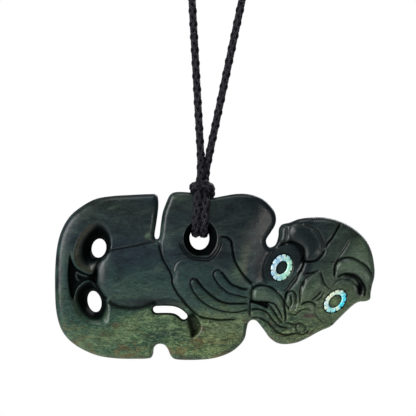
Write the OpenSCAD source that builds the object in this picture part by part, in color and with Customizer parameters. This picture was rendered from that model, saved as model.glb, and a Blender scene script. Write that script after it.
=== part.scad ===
// Hei tiki pendant: a carved greenstone figure lying on its side, with two shell
// eye rings, hitched to a plaited cord that goes round the neck.
// X runs across the figure, Z is up and -Y is the carved front.
// The origin is where the top of the cord loop hangs.

/* [Stone] */
// Length of the stone, from the legs to the crown of the head
stone_w = 110; // [100:1:125]
// Height of the stone as it hangs
stone_h = 57.7; // [54:0.1:64]
// Thickness of the stone before the relief is raised
plate_t = 7.6; // [6.5:0.1:9]
// Height of the relief over the plate
relief_t = 2.2; // [1:0.1:3]
// Width of the rounded edge, seen from the front
edge_w = 2; // [1:0.1:2.4]
// Depth of the rounded edge
edge_d = 2.6; // [1.5:0.1:3]

/* [Holes and hollows] */
// Width of the hole that the cord goes through
cord_hole_w = 6.8; // [6.4:0.1:7.6]
// Height of the hole that the cord goes through
cord_hole_h = 8; // [7.4:0.1:9]
// Width of the bevel round the cord hole
hole_bevel = 2; // [1:0.1:2.6]
// Width of the upper leg hole
upper_hole_w = 5; // [4:0.1:6]
// Height of the upper leg hole
upper_hole_h = 6.6; // [5:0.1:8]
// Width of the lower leg hole
lower_hole_w = 4.7; // [4:0.1:6]
// Height of the lower leg hole
lower_hole_h = 7.4; // [5:0.1:9]
// Width of the curved slot under the hand
slot_w = 2.6; // [2:0.1:3.2]
// Depth of the hollows round the leg holes
hollow_d = 3.4; // [2:0.1:4.5]
// Width of the carved grooves
groove_w = 1.5; // [0.8:0.1:2]
// Depth of the carved grooves
groove_d = 1.1; // [0.5:0.1:1.6]

/* [Eyes] */
// Thickness of the shell rings
ring_t = 1.2; // [0.8:0.1:1.8]
// How far a ring stands out of the floor of its eye well
ring_proud = 0.3; // [0.1:0.05:0.6]
// Depth of the eye wells below the plate's face
well_d = 0.6; // [0.4:0.1:1]
// Width of the floor that is left round a ring
well_margin = 0.9; // [0.5:0.1:1.4]
// Clearance between a ring and its groove
ring_gap = 0.12; // [0.08:0.02:0.3]
// Notches round the rim of a ring
ring_notches = 12; // [9:1:16]
// Depth of a notch in the rim of a ring
notch_d = 0.3; // [0.1:0.05:0.5]

/* [Cord] */
// Thickness of the plaited cord
cord_d = 2.5; // [2:0.1:2.8]
// Length of the loop that goes round the neck
neck_loop = 640; // [560:5:760]
// Half the angle between the two sides of the loop
half_spread = 7.6; // [5:0.1:12]
// Lean of the loop to the right of upright
loop_lean = 4.4; // [0:0.1:8]
// Lean of the hitch to the right of upright
hitch_lean = 3.4; // [0:0.1:6]
// Height of the hitch's crossbar over the stone
bar_rise = 3.6; // [3:0.1:5]
// Clearance between the cord and what it touches
cord_gap = 0.2; // [0.1:0.05:0.4]
// Thickness of the knot that closes the loop
knot_d = 6; // [5:0.1:8]
// Length of the knot that closes the loop
knot_len = 14; // [8:1:20]

/* [Hidden] */

stone_colour = "#26352c";
shell_colour = "#9fdcc8";
cord_colour = "#17171a";
// Far enough past a face to cut right through it
past = 1;
// Turn that keeps the corners of a cutter clear of the corners of what it cuts
facet_turn = 7;

// Depth places: the back of the stone, the face of the plate and the highest relief
back_y = (plate_t + relief_t) / 2;
face_y = back_y - plate_t;

// The outline goes counter-clockwise round the figure in short stretches. A row is
// a point of it: its share of the stone's length, then its share of the height.
leg_outline = [
    [0.322, 0.964], [0.317, 0.985], [0.298, 0.988], [0.236, 0.983], [0.173, 0.975],
    [0.125, 0.957], [0.078, 0.907], [0.045, 0.851], [0.020, 0.768], [0.007, 0.677],
    [0.001, 0.565], [0.000, 0.417], [0.004, 0.288], [0.018, 0.187], [0.043, 0.119],
    [0.081, 0.066], [0.133, 0.024], [0.189, 0.007], [0.251, 0.004], [0.298, 0.009],
    [0.306, 0.027]
];
foot_notch = [
    [0.309, 0.066], [0.317, 0.088], [0.329, 0.095], [0.343, 0.088], [0.354, 0.062],
    [0.361, 0.030], [0.371, 0.008]
];
hip_outline = [
    [0.392, 0.000], [0.452, 0.000], [0.501, 0.011], [0.547, 0.042], [0.577, 0.085],
    [0.594, 0.130], [0.600, 0.185]
];
chin_notch = [
    [0.605, 0.219], [0.616, 0.237], [0.629, 0.233], [0.640, 0.211], [0.655, 0.174]
];
jaw_outline = [
    [0.674, 0.126], [0.700, 0.096], [0.733, 0.093], [0.768, 0.109], [0.830, 0.171],
    [0.864, 0.200], [0.893, 0.252], [0.924, 0.309], [0.948, 0.342], [0.974, 0.349]
];
crown_outline = [
    [0.986, 0.362], [0.988, 0.395], [0.992, 0.440], [0.999, 0.490], [1.000, 0.545],
    [0.991, 0.641], [0.973, 0.714], [0.945, 0.770], [0.907, 0.815], [0.861, 0.844],
    [0.813, 0.849], [0.766, 0.839], [0.735, 0.817], [0.712, 0.806], [0.702, 0.780]
];
neck_notch = [
    [0.700, 0.735], [0.691, 0.685], [0.676, 0.670], [0.664, 0.684], [0.661, 0.715],
    [0.674, 0.756], [0.688, 0.800]
];
shoulder_outline = [
    [0.692, 0.835], [0.688, 0.877], [0.675, 0.916], [0.648, 0.961], [0.610, 0.986],
    [0.569, 0.989], [0.523, 0.975], [0.495, 0.966], [0.465, 0.972], [0.436, 0.992],
    [0.405, 1.000], [0.374, 0.998], [0.360, 0.982]
];
arm_slot = [
    [0.348, 0.935], [0.337, 0.875], [0.331, 0.802], [0.327, 0.738], [0.322, 0.721],
    [0.315, 0.721], [0.311, 0.740], [0.315, 0.795], [0.320, 0.860], [0.323, 0.915]
];
// Straight steps that each span of the outline is drawn in
outline_steps = 3;

// Raised forms. Columns: centre across and up, half its length and half its
// height as shares, its turn in degrees and its share of the relief.
mounds = [
    [0.245, 0.494, 0.140, 0.200, 0, 0.80],
    [0.500, 0.415, 0.140, 0.220, 0, 0.70],
    [0.608, 0.740, 0.080, 0.260, 8, 0.65],
    [0.375, 0.800, 0.040, 0.220, 0, 0.30],
    [0.840, 0.520, 0.200, 0.400, 0, 0.60],
    [0.818, 0.450, 0.040, 0.150, 32, 0.40],
    [0.665, 0.395, 0.055, 0.070, 25, 0.45],
    [0.803, 0.700, 0.045, 0.130, 20, 0.30],
    [0.922, 0.560, 0.055, 0.070, 0, 0.30],
    [0.500, 0.140, 0.110, 0.130, 8, 0.35]
];
// Cells of the relief's surface along the stone and up it
relief_cells = [48, 26];

// Grooves. Each row of a table is a point: its share of the length, then of the height.
belly_groove = [
    [0.323, 0.700], [0.267, 0.685], [0.220, 0.667], [0.173, 0.648], [0.143, 0.601],
    [0.130, 0.550], [0.128, 0.497], [0.133, 0.446], [0.147, 0.395], [0.170, 0.345],
    [0.205, 0.316], [0.251, 0.309], [0.298, 0.324]
];
hand_groove = [
    [0.327, 0.708], [0.334, 0.631], [0.345, 0.577], [0.362, 0.522], [0.368, 0.464],
    [0.380, 0.409], [0.399, 0.358], [0.417, 0.319], [0.436, 0.286], [0.462, 0.255],
    [0.495, 0.240], [0.541, 0.236], [0.592, 0.248]
];
thumb_groove = [[0.370, 0.524], [0.382, 0.574], [0.404, 0.607], [0.432, 0.617]];
lower_finger = [
    [0.610, 0.302], [0.579, 0.287], [0.547, 0.284], [0.510, 0.299], [0.479, 0.330],
    [0.453, 0.367], [0.434, 0.410], [0.425, 0.458], [0.432, 0.484], [0.444, 0.477],
    [0.466, 0.426], [0.494, 0.378], [0.526, 0.343], [0.563, 0.336], [0.610, 0.336]
];
upper_finger = [
    [0.610, 0.372], [0.572, 0.384], [0.541, 0.402], [0.516, 0.441], [0.499, 0.488],
    [0.497, 0.516], [0.508, 0.535], [0.522, 0.524], [0.535, 0.488], [0.557, 0.448],
    [0.588, 0.423], [0.610, 0.420]
];
arm_groove = [
    [0.520, 0.732], [0.542, 0.723], [0.554, 0.685], [0.559, 0.613], [0.572, 0.552],
    [0.593, 0.499], [0.622, 0.446]
];
leg_groove = [
    [0.070, 0.696], [0.057, 0.643], [0.050, 0.565], [0.047, 0.476], [0.049, 0.375], [0.062, 0.298]
];
wrist_groove = [[0.619, 0.446], [0.614, 0.392], [0.612, 0.339], [0.609, 0.275]];
eyelid_groove = [
    [0.735, 0.705], [0.762, 0.690], [0.776, 0.655], [0.779, 0.585], [0.769, 0.525],
    [0.753, 0.470], [0.735, 0.428], [0.722, 0.388], [0.719, 0.350]
];
brow_groove = [
    [0.779, 0.585], [0.801, 0.580], [0.822, 0.604], [0.844, 0.648], [0.853, 0.680],
    [0.833, 0.765]
];
temple_groove = [
    [0.874, 0.455], [0.873, 0.510], [0.880, 0.570], [0.900, 0.600], [0.930, 0.606],
    [0.957, 0.585], [0.987, 0.525]
];
nose_left_groove = [[0.826, 0.533], [0.806, 0.515], [0.785, 0.514], [0.768, 0.470], [0.765, 0.375]];
nose_right_groove = [[0.832, 0.530], [0.838, 0.480], [0.850, 0.430], [0.828, 0.410], [0.803, 0.362]];
lip_groove = [
    [0.622, 0.442], [0.643, 0.443], [0.670, 0.434], [0.693, 0.415], [0.710, 0.383],
    [0.718, 0.345], [0.722, 0.285], [0.722, 0.230]
];
tongue_groove = [
    [0.622, 0.350], [0.650, 0.348], [0.672, 0.343], [0.689, 0.315], [0.705, 0.270], [0.719, 0.226]
];
mouth_groove = [[0.612, 0.250], [0.645, 0.248], [0.672, 0.210], [0.700, 0.160], [0.740, 0.148], [0.790, 0.180]];
grooves = [
    leg_groove, belly_groove, hand_groove, thumb_groove, lower_finger, upper_finger, arm_groove,
    wrist_groove, eyelid_groove, brow_groove, temple_groove, nose_left_groove,
    nose_right_groove, lip_groove, tongue_groove, mouth_groove
];

// Places of the holes and hollows, as shares of the length and height
cord_hole_at = [0.452, 0.724];
upper_hole_at = [0.136, 0.664];
lower_hole_at = [0.122, 0.344];
slot_path = [[0.318, 0.298], [0.345, 0.299], [0.370, 0.296], [0.389, 0.282], [0.403, 0.259]];
hook_path = [[0.420, 0.285], [0.436, 0.240], [0.445, 0.200], [0.440, 0.150]];
// Hollows round the leg holes. Columns: centre across and up, half its width and
// half its height as shares, its turn in degrees.
leg_hollows = [
    [0.122, 0.660, 0.058, 0.150, 12],
    [0.113, 0.345, 0.056, 0.138, -10]
];
// Turns of the leg holes
upper_hole_turn = 12;
lower_hole_turn = -12;

// Eyes. Columns: centre across and up as shares, half the ring's length and half its
// width in mm, its turn, half the pupil's length and half its width in mm, its turn.
EYE_AT = 0;
EYE_HALF = 1;
EYE_TURN = 2;
PUPIL_HALF = 3;
PUPIL_TURN = 4;
upper_eye = [[0.709, 0.550], [4.7, 3.55], 22, [2.5, 1.7], 32];
lower_eye = [[0.876, 0.350], [4.6, 3.1], 45, [2.7, 1.75], 43];
ring_steps = 72;

// The loop: its top is an arc, tangent to the two straight sides
loop_r = neck_loop / (2 / tan(half_spread) + PI + 2 * half_spread * PI / 180);
cord_r = cord_d / 2;
loop_c = [0, cord_r - loop_r];
// Where the two sides would meet, at the hitch's crossbar
fork = loop_c - loop_r / sin(half_spread) * [sin(loop_lean), cos(loop_lean)];
// The sides leave the hitch where they come clear of each other
free_at = (cord_r + cord_gap) / sin(half_spread);

// The stone hangs from the crossbar. Its top slopes under the hitch, so the share of
// the height that it reaches is given under the hitch's middle, left leg and right leg.
bridge_top_at = [0.972, 0.996, 0.968];
stone_z = fork[1] - bar_rise - bridge_top_at[0] * stone_h;
hole_z = stone_z + cord_hole_at[1] * stone_h;
hole_x = fork[0] - (fork[1] - hole_z) * tan(hitch_lean);
stone_x = hole_x - cord_hole_at[0] * stone_w;

function place(p) = [stone_x + p[0] * stone_w, stone_z + p[1] * stone_h];
function lerp(a, b, t) = a + (b - a) * t;

// Smooth closed curve through points, with tangents that fit uneven spacing
function tangent(a, b, c, span) = span * (c - a) / (norm(b - a) + norm(c - b));
function hermite(b, c, mb, mc, t) =
    (2 * t ^ 3 - 3 * t ^ 2 + 1) * b + (t ^ 3 - 2 * t ^ 2 + t) * mb
    + (3 * t ^ 2 - 2 * t ^ 3) * c + (t ^ 3 - t ^ 2) * mc;
function smooth_loop(p, steps) = [
    for (i = [0 : len(p) - 1])
        let (a = p[(i + len(p) - 1) % len(p)], b = p[i], c = p[(i + 1) % len(p)],
            d = p[(i + 2) % len(p)], span = norm(c - b))
        for (k = [0 : steps - 1])
            hermite(b, c, tangent(a, b, c, span), tangent(b, c, d, span), k / steps)
];

outline_shares = concat(
    leg_outline, foot_notch, hip_outline, chin_notch, jaw_outline, crown_outline,
    neck_notch, shoulder_outline, arm_slot
);
outline = smooth_loop([for (p = outline_shares) place(p)], outline_steps);

// Height of the relief over the plate at a place given in shares
function rise_of(p, m) =
    let (d = place(p) - place([m[0], m[1]]),
        along = d * [cos(m[4]), -sin(m[4])] / (m[2] * stone_w),
        up = d * [sin(m[4]), cos(m[4])] / (m[3] * stone_h),
        q = along ^ 2 + up ^ 2)
    q < 1 ? m[5] * (1 - q) ^ 2 : 0;
function sum(v, i = 0) = i < len(v) ? v[i] + sum(v, i + 1) : 0;
function relief(p) = relief_t * min(1, sum([for (m = mounds) rise_of(p, m)]));

// The relief's surface over a rectangle a little larger than the stone
module relief_block() {
    nx = relief_cells[0];
    nz = relief_cells[1];
    margin = 0.01;
    front = [
        for (i = [0 : nx], j = [0 : nz])
            let (p = [lerp(-margin, 1 + margin, i / nx), lerp(-margin, 1 + margin, j / nz)], q = place(p))
            [q[0], face_y - relief(p), q[1]]
    ];
    low = place([-margin, -margin]);
    high = place([1 + margin, 1 + margin]);
    back = [
        [low[0], back_y, low[1]], [low[0], back_y, high[1]],
        [high[0], back_y, high[1]], [high[0], back_y, low[1]]
    ];
    first = len(front);
    cells = [
        for (i = [0 : nx - 1], j = [0 : nz - 1], half = [0, 1])
            let (a = i * (nz + 1) + j, b = a + 1, c = a + nz + 2, d = a + nz + 1)
            half == 0 ? [a, b, c] : [a, c, d]
    ];
    left = concat([first, first + 1], [for (j = [nz : -1 : 0]) j]);
    right = concat([for (j = [0 : nz]) nx * (nz + 1) + j], [first + 2, first + 3]);
    top = concat([nz, first + 1, first + 2], [for (i = [nx : -1 : 1]) i * (nz + 1) + nz]);
    bottom = concat([nx * (nz + 1), first + 3, first], [for (i = [0 : nx - 1]) i * (nz + 1)]);
    rear = [first + 3, first + 2, first + 1, first];
    polyhedron(concat(front, back), concat(cells, [left, right, top, bottom, rear]));
}

// A shape drawn in X and Z, extruded from one depth to another
module slab(y_back, y_front) {
    translate([0, y_back, 0]) rotate([90, 0, 0]) linear_extrude(y_back - y_front) children();
}

// A cutter with a round foot and straight flanks, along a path given in shares.
// It has half-width w where it leaves the surface and goes depth d below it.
module carve(path, w, d, foot = 0) {
    reach = relief_t + past;
    spots = [for (p = path) [place(p), face_y - relief(p) + d]];
    for (i = [0 : len(spots) - 2])
        hull()
            for (s = [spots[i], spots[i + 1]])
                translate([s[0][0], s[1], s[0][1]]) rotate([90, facet_turn, 0])
                    cylinder(h = d + reach, r1 = foot, r2 = foot + (w - foot) * (d + reach) / d, $fn = 8);
}

// The rounded edge, cut by cones whose tips run a little outside the outline. The
// cut takes width w off the face and depth d off the wall.
module edge_cutter(w, d) {
    outside = 0.4;
    last = len(outline) - 1;
    y_top = face_y - relief_t - past;
    y_tip = face_y + d * (w + outside) / w;
    path = [
        for (i = [0 : last])
            let (s = outline[(i + 1) % (last + 1)] - outline[(i + last) % (last + 1)])
            outline[i] + outside * [s[1], -s[0]] / norm(s)
    ];
    for (i = [0 : last])
        hull()
            for (p = [path[i], path[(i + 1) % (last + 1)]])
                translate([p[0], y_tip, p[1]]) rotate([90, facet_turn, 0])
                    cylinder(h = y_tip - y_top, r1 = 0, r2 = w * (y_tip - y_top) / d, $fn = 8);
}

// An oval hole right through the stone
module oval_hole(at, w, h, turn) {
    q = place(at);
    slab(back_y + past, face_y - relief_t - past)
        translate(q) rotate(-turn) scale([w / 2, h / 2]) circle(1, $fn = 32);
}

// A rounded hollow in the front
module hollow(row, d) {
    q = place([row[0], row[1]]);
    translate([q[0], face_y, q[1]]) rotate([0, row[4], 0])
        scale([row[2] * stone_w, d, row[3] * stone_h]) sphere(1, $fn = 28);
}

// The bevel round the cord hole goes as deep as it is wide
module cord_hole() {
    q = place(cord_hole_at);
    oval_hole(cord_hole_at, cord_hole_w, cord_hole_h, 0);
    wide = cord_hole_w + 2 * (hole_bevel + past);
    translate([q[0], face_y - past, q[1]]) rotate([-90, 0, 0]) scale([1, cord_hole_h / cord_hole_w, 1])
        rotate(facet_turn) cylinder(h = wide / 2, d1 = wide, d2 = 0, $fn = 32);
}

// The notched outline of an eye ring, grown by a margin
module ring_shape(eye, grow = 0, notch = notch_d) {
    difference() {
        rotate(90 - eye[EYE_TURN]) polygon([
            for (k = [0 : ring_steps - 1])
                let (a = 360 * k / ring_steps, wave = max(0, cos(a * ring_notches)) ^ 3,
                    cut = notch * wave)
                [(eye[EYE_HALF][0] + grow - cut) * cos(a), (eye[EYE_HALF][1] + grow - cut) * sin(a)]
        ]);
        rotate(90 - eye[PUPIL_TURN]) scale([eye[PUPIL_HALF][0] - grow, eye[PUPIL_HALF][1] - grow])
            circle(1, $fn = 36);
    }
}

ring_y = face_y + well_d - ring_proud;
module eye_seat(eye) {
    q = place(eye[EYE_AT]);
    slab(ring_y + ring_t + ring_gap, face_y + well_d - past)
        translate(q) ring_shape(eye, ring_gap, 0);
    // The well slopes outward from its floor to the face
    long = eye[EYE_HALF][0] + well_margin;
    short = eye[EYE_HALF][1] + well_margin;
    depth = well_d + relief_t + past;
    translate([q[0], face_y + well_d, q[1]]) rotate([90, eye[EYE_TURN] - 90, 0])
        scale([1, short / long, 1]) cylinder(h = depth, r1 = long, r2 = long + depth, $fn = 32);
}

module eye_ring(eye) {
    slab(ring_y + ring_t, ring_y) translate(place(eye[EYE_AT])) ring_shape(eye);
}

module upper_eye_ring() {
    color(shell_colour) eye_ring(upper_eye);
}

module lower_eye_ring() {
    color(shell_colour) eye_ring(lower_eye);
}

// Two cutters make the rounded edge: a wide shallow one and a narrow deep one
edge_split = 0.4;

module tiki() {
    color(stone_colour) difference() {
        intersection() {
            relief_block();
            slab(back_y + past, face_y - relief_t - past) polygon(outline);
        }
        edge_cutter(edge_w, edge_d * edge_split);
        edge_cutter(edge_w * edge_split, edge_d);
        for (row = leg_hollows) hollow(row, hollow_d);
        oval_hole(upper_hole_at, upper_hole_w, upper_hole_h, upper_hole_turn);
        oval_hole(lower_hole_at, lower_hole_w, lower_hole_h, lower_hole_turn);
        cord_hole();
        carve(slot_path, slot_w / 2, plate_t + relief_t + past, slot_w / 2);
        carve(hook_path, slot_w / 2, hollow_d, slot_w / 4);
        for (path = grooves) carve(path, groove_w / 2, groove_d);
        eye_seat(upper_eye);
        eye_seat(lower_eye);
    }
}

// The hitch is drawn in its own frame: side offset, depth and height over the
// middle of the cord hole, before it leans.
touch = cord_r + cord_gap;
front_cord_y = face_y - touch;
back_cord_y = back_y + touch;
loop_y = 0;
bar_h = (fork[1] - hole_z) / cos(hitch_lean);
function bridge_h(side) =
    (stone_z + bridge_top_at[side < 0 ? 1 : 2] * stone_h - hole_z) / cos(hitch_lean);
// Side offsets of the legs: in the hole, under the crossbar and where they end it
hole_side = cord_r + cord_gap / 2;
neck_side = 0.65 * cord_r;
bar_side = 1.15 * cord_d;
hole_in = (cord_hole_h / 2 - touch) * sqrt(1 - (hole_side / (cord_hole_w / 2 - touch)) ^ 2);
hole_edge = cord_hole_h / 2 * sqrt(1 - (hole_side / (cord_hole_w / 2)) ^ 2);
under_bar_y = (loop_y + front_cord_y) / 2;
bar_y = under_bar_y - 0.95 * cord_d;

// Round a corner of the bridge, seen from its side, between two angles
function corner(side_a, side_b, y, h, r, from, to, steps) = [
    for (k = [0 : steps])
        let (a = lerp(from, to, k / steps))
        [lerp(side_a, side_b, k / steps), y + r * cos(a), h + r * sin(a)]
];
wrap_r = touch / cos(15);
function half_hitch(top) = concat(
    [
        [neck_side, lerp(loop_y, under_bar_y, 0.3), bar_h + 2 * cord_d],
        [neck_side, under_bar_y, bar_h],
        [hole_side, front_cord_y, top - 0.8 * cord_d],
        [hole_side, front_cord_y, hole_edge + hole_bevel],
        [hole_side, front_cord_y + cord_r, hole_edge - 0.3 * cord_r],
        [hole_side, face_y + hole_bevel, hole_in],
        [hole_side, back_y - cord_r, hole_in]
    ],
    corner(hole_side, hole_side, back_y, hole_edge, hole_edge - hole_in, -75, -15, 2),
    [[hole_side, back_cord_y, hole_edge + cord_d]],
    corner(0.9 * bar_side, bar_side, back_y, top, wrap_r, 0, 90, 3),
    [
        [bar_side, loop_y, top + wrap_r],
        [bar_side, lerp(loop_y, bar_y, 0.5), lerp(top + wrap_r, bar_h, 0.6)],
        [bar_side, lerp(loop_y, bar_y, 0.8), bar_h - 0.2 * cord_r],
        [0.7 * bar_side, bar_y, bar_h],
        [0, bar_y, bar_h]
    ]
);
function lean_hitch(p) = [
    hole_x + p[0] * cos(hitch_lean) + p[2] * sin(hitch_lean),
    p[1],
    hole_z - p[0] * sin(hitch_lean) + p[2] * cos(hitch_lean)
];
function way(side) = [sin(loop_lean + side * half_spread), cos(loop_lean + side * half_spread)];
function on_side(side, t) = let (p = fork + t * way(side)) [p[0], loop_y, p[1]];

// A run of cord as balls joined in pairs
module thick_line(points) {
    for (i = [0 : len(points) - 2])
        hull()
            for (p = [points[i], points[i + 1]]) translate(p) sphere(cord_r, $fn = 8);
}

module cord_hitch() {
    color(cord_colour)
        for (side = [-1, 1])
            thick_line(concat(
                [on_side(side, free_at)],
                [for (p = half_hitch(bridge_h(side))) lean_hitch([side * p[0], p[1], p[2]])]
            ));
}

// The loop's route: up the left side, over the arc and down the right side
side_rings = 24;
arc_rings = 26;
side_len = loop_r / tan(half_spread);
start_at = free_at + touch;
side_ts = [for (k = [0 : side_rings - 1]) lerp(start_at, side_len, k / side_rings)];
loop_route = concat(
    [for (t = side_ts) fork + t * way(-1)],
    [for (k = [0 : arc_rings])
        let (a = lerp(loop_lean - half_spread - 90, loop_lean + half_spread + 90, k / arc_rings))
        loop_c + loop_r * [sin(a), cos(a)]],
    [for (k = [side_rings - 1 : -1 : 0]) fork + side_ts[k] * way(1)]
);
cord_sides = 8;

module neck_cord() {
    last = len(loop_route) - 1;
    points = [
        for (i = [0 : last])
            let (p = loop_route[i],
                d = loop_route[min(i + 1, last)] - loop_route[max(i - 1, 0)],
                n = [-d[1], d[0]] / norm(d))
            for (k = [0 : cord_sides - 1])
                let (a = 360 * k / cord_sides, q = p + cord_r * cos(a) * n)
                [q[0], loop_y + cord_r * sin(a), q[1]]
    ];
    faces = concat(
        [[for (k = [0 : cord_sides - 1]) k]],
        [for (i = [0 : last - 1], k = [0 : cord_sides - 1])
            let (a = i * cord_sides + k, b = i * cord_sides + (k + 1) % cord_sides)
            [a, a + cord_sides, b + cord_sides, b]],
        [[for (k = [cord_sides - 1 : -1 : 0]) last * cord_sides + k]]
    );
    color(cord_colour) polyhedron(points, faces);
}

// The knot sits a little to the right of the top, clear of what the loop hangs on
knot_at = 35;

module closing_knot() {
    turn = knot_len / loop_r * 180 / PI;
    color(cord_colour) translate([loop_c[0], loop_y, loop_c[1]]) rotate([90, 0, 0])
        rotate(90 - knot_at - turn / 2) rotate_extrude(angle = turn, $fn = 48)
            translate([loop_r, 0]) difference() {
                circle(d = knot_d, $fn = 32);
                circle(cord_r + cord_gap, $fn = 32);
            }
}

tiki();
upper_eye_ring();
lower_eye_ring();
cord_hitch();
neck_cord();
closing_knot();
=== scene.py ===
import math

import bmesh
import bpy
import numpy as np
from mathutils import Matrix, Vector


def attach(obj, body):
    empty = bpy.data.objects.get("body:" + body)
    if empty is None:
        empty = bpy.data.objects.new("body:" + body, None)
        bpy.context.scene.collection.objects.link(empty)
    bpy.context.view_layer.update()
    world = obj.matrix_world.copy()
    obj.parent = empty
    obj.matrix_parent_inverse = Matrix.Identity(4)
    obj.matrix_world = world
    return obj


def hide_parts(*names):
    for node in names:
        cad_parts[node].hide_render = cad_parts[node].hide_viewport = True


bl_info = {
    "name": "Hei tiki pendant",
    "version": (1, 0, 0),
    "blender": (4, 5, 0),
    "location": "View3D > Sidebar > Pendant",
    "description": "Carved stone figure with shell eye rings on a plaited neck cord",
    "category": "Object",
}

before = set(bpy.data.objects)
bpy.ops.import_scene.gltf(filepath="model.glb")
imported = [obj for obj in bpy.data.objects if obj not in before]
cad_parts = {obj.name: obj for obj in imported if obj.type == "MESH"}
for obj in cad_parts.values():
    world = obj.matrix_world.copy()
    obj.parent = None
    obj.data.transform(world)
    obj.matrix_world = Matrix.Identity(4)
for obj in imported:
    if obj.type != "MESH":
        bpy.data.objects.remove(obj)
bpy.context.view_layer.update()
MM = 0.001


# Settings that a user may change


def length(name, text, default):
    """A length whose default is in millimetres."""
    return bpy.props.FloatProperty(
        name=name, description=text, default=default * MM, unit="LENGTH", precision=5
    )


def colour(name, text, default):
    return bpy.props.FloatVectorProperty(
        name=name, description=text, default=default, size=3, subtype="COLOR", min=0, max=1
    )


def power(name, text, default):
    return bpy.props.FloatProperty(name=name, description=text, default=default, unit="POWER")


class StoneSettings(bpy.types.PropertyGroup):
    cell: length("Mesh cell", "Width of one cell of the carved face", 0.25)
    rim: length("Rim", "Radius of the rounded rim of the face", 2.0)
    back_rim: length("Back rim", "Radius of the rounded rim of the back", 1.2)
    groove: length("Groove depth", "Depth of the finest carved lines", 0.75)
    hollow: length("Hollow depth", "Depth of the hollows round the leg holes", 3.4)
    deep: colour("Deep green", "Teal of the stone's dark body", (0.018, 0.042, 0.038))
    # The slate blue is partly a painted bluish reflection on the upper stone
    slate_and_sheen: colour("Slate", "Blue-grey colour of the upper stone", (0.011, 0.021, 0.028))
    leaf: colour("Leaf green", "Light mottled green of the lower edge", (0.072, 0.156, 0.068))
    ochre: colour("Ochre", "Rusty flecks in the light green", (0.120, 0.092, 0.038))


class RingSettings(bpy.types.PropertyGroup):
    crown: length("Crown", "How far a ring's face is domed", 0.18)
    ice: colour("Ice blue", "Blue of the shell", (0.32, 0.58, 0.80))
    mint: colour("Mint", "Green of the shell", (0.36, 0.76, 0.60))
    cream: colour("Cream", "Pale yellow of the shell", (0.92, 0.97, 0.74))
    lagoon: colour("Lagoon", "Bright blue of the lower ring", (0.03, 0.70, 0.92))


class CordSettings(bpy.types.PropertyGroup):
    cord: length("Cord", "Thickness of the plaited cord", 3.0)
    plait: length("Plait", "Length of one full turn of the plait", 18.0)
    strand: length("Strand", "Thickness of one strand of the plait", 1.15)
    dye: colour("Dye", "Colour of the waxed cord", (0.0035, 0.0033, 0.0055))


class StageSettings(bpy.types.PropertyGroup):
    key: power("Key light", "Power of the large soft light", 14.0)
    fill: power("Fill light", "Power of the soft light across from it", 7.5)
    surround: bpy.props.FloatProperty(
        name="Surround", description="Brightness of the pale surround", default=0.18, min=0
    )


# The stone's box in the frame, and the depths of its faces, in millimetres
STONE_W = 110.0
STONE_H = 57.7
STONE_X = -70.965
STONE_Z = -355.497
BACK_Y = 4.9
FACE_Y = -2.7
RELIEF = 2.2
# The deepest hollows leave this much stone over the back
FLOOR_T = 1.6

# The outline, counter-clockwise, in thousandths of the stone's length and height
OUTLINE = [
    (322, 964), (317, 985), (298, 988), (236, 983), (173, 975), (125, 957), (78, 907), (45, 851),
    (20, 768), (7, 677), (1, 565), (0, 417), (4, 288), (18, 187), (43, 119), (81, 66), (133, 24),
    (189, 7), (251, 4), (298, 9), (306, 27), (309, 66), (317, 88), (329, 95), (343, 88),
    (354, 62), (361, 30), (371, 8), (392, 0), (452, 0), (501, 11), (547, 42), (577, 85),
    (594, 130), (600, 185), (605, 219), (616, 237), (629, 233), (640, 211), (655, 174),
    (674, 126), (700, 96), (733, 93), (768, 109), (830, 171), (864, 200), (893, 252), (924, 309),
    (948, 342), (974, 349), (986, 362), (988, 395), (992, 440), (999, 490), (1000, 545),
    (991, 641), (973, 714), (945, 770), (907, 815), (861, 844), (813, 849), (766, 839),
    (735, 817), (712, 806), (702, 780), (700, 735), (691, 685), (676, 670), (664, 684),
    (661, 715), (674, 756), (688, 800), (692, 835), (688, 877), (675, 916), (648, 961),
    (610, 986), (569, 989), (523, 975), (495, 966), (465, 972), (436, 992), (405, 1000),
    (374, 998), (360, 982), (348, 935), (337, 875), (331, 802), (327, 738), (322, 721),
    (315, 721), (311, 740), (315, 795), (320, 860), (323, 915)
]
# The outline's parts round the legs and over the head, with how wide the face is rounded
# there, how far it drops and how much all of it is lifted, in millimetres
LEG_END = (slice(0, 21), 6.5, 1.25, 0.2)
HEAD_END = (slice(39, 61), 8.5, 1.6, 0)
# Round holes: centre in thousandths, width and height in millimetres, turn in degrees
CORD_HOLE = (452, 724, 6.8, 8.0, 0)
UPPER_HOLE = (136, 664, 5.0, 6.6, 12)
LOWER_HOLE = (122, 344, 4.7, 7.4, -12)
# The cord hole's bevel, and two thin lips outside it: how far out and how deep they are
CORD_BEVEL = 2.2
BEVEL_D = 3.2
LIPS = ((0.5, 0.35), (1.3, 0.2))
# The pierced slot, along its middle
SLOT_LINE = [(318, 298), (345, 299), (370, 296), (389, 282), (403, 259)]
SLOT_W = 2.6

# Edges that a raised form and a carved line share
HAND_EDGE = [
    (332, 643), (339, 601), (348, 568), (360, 530), (367, 494), (368, 458), (376, 423),
    (385, 393), (398, 363), (410, 333), (423, 307), (438, 280), (451, 262), (470, 250),
    (491, 244), (516, 238), (579, 244)
]
LID_EDGE = [
    (777, 655), (778, 625), (778, 583), (772, 548), (766, 530), (760, 506), (754, 476),
    (744, 452), (735, 429), (725, 405)
]
TEMPLE_EDGE = [
    (874, 524), (875, 560), (885, 589), (897, 604), (913, 610), (928, 607), (944, 595), (956, 580)
]
SCROLL_EDGE = [
    (730, 291), (731, 311), (724, 324), (719, 344), (721, 370), (724, 393), (731, 407),
    (742, 411), (750, 400), (754, 377), (754, 351), (757, 327)
]

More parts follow.
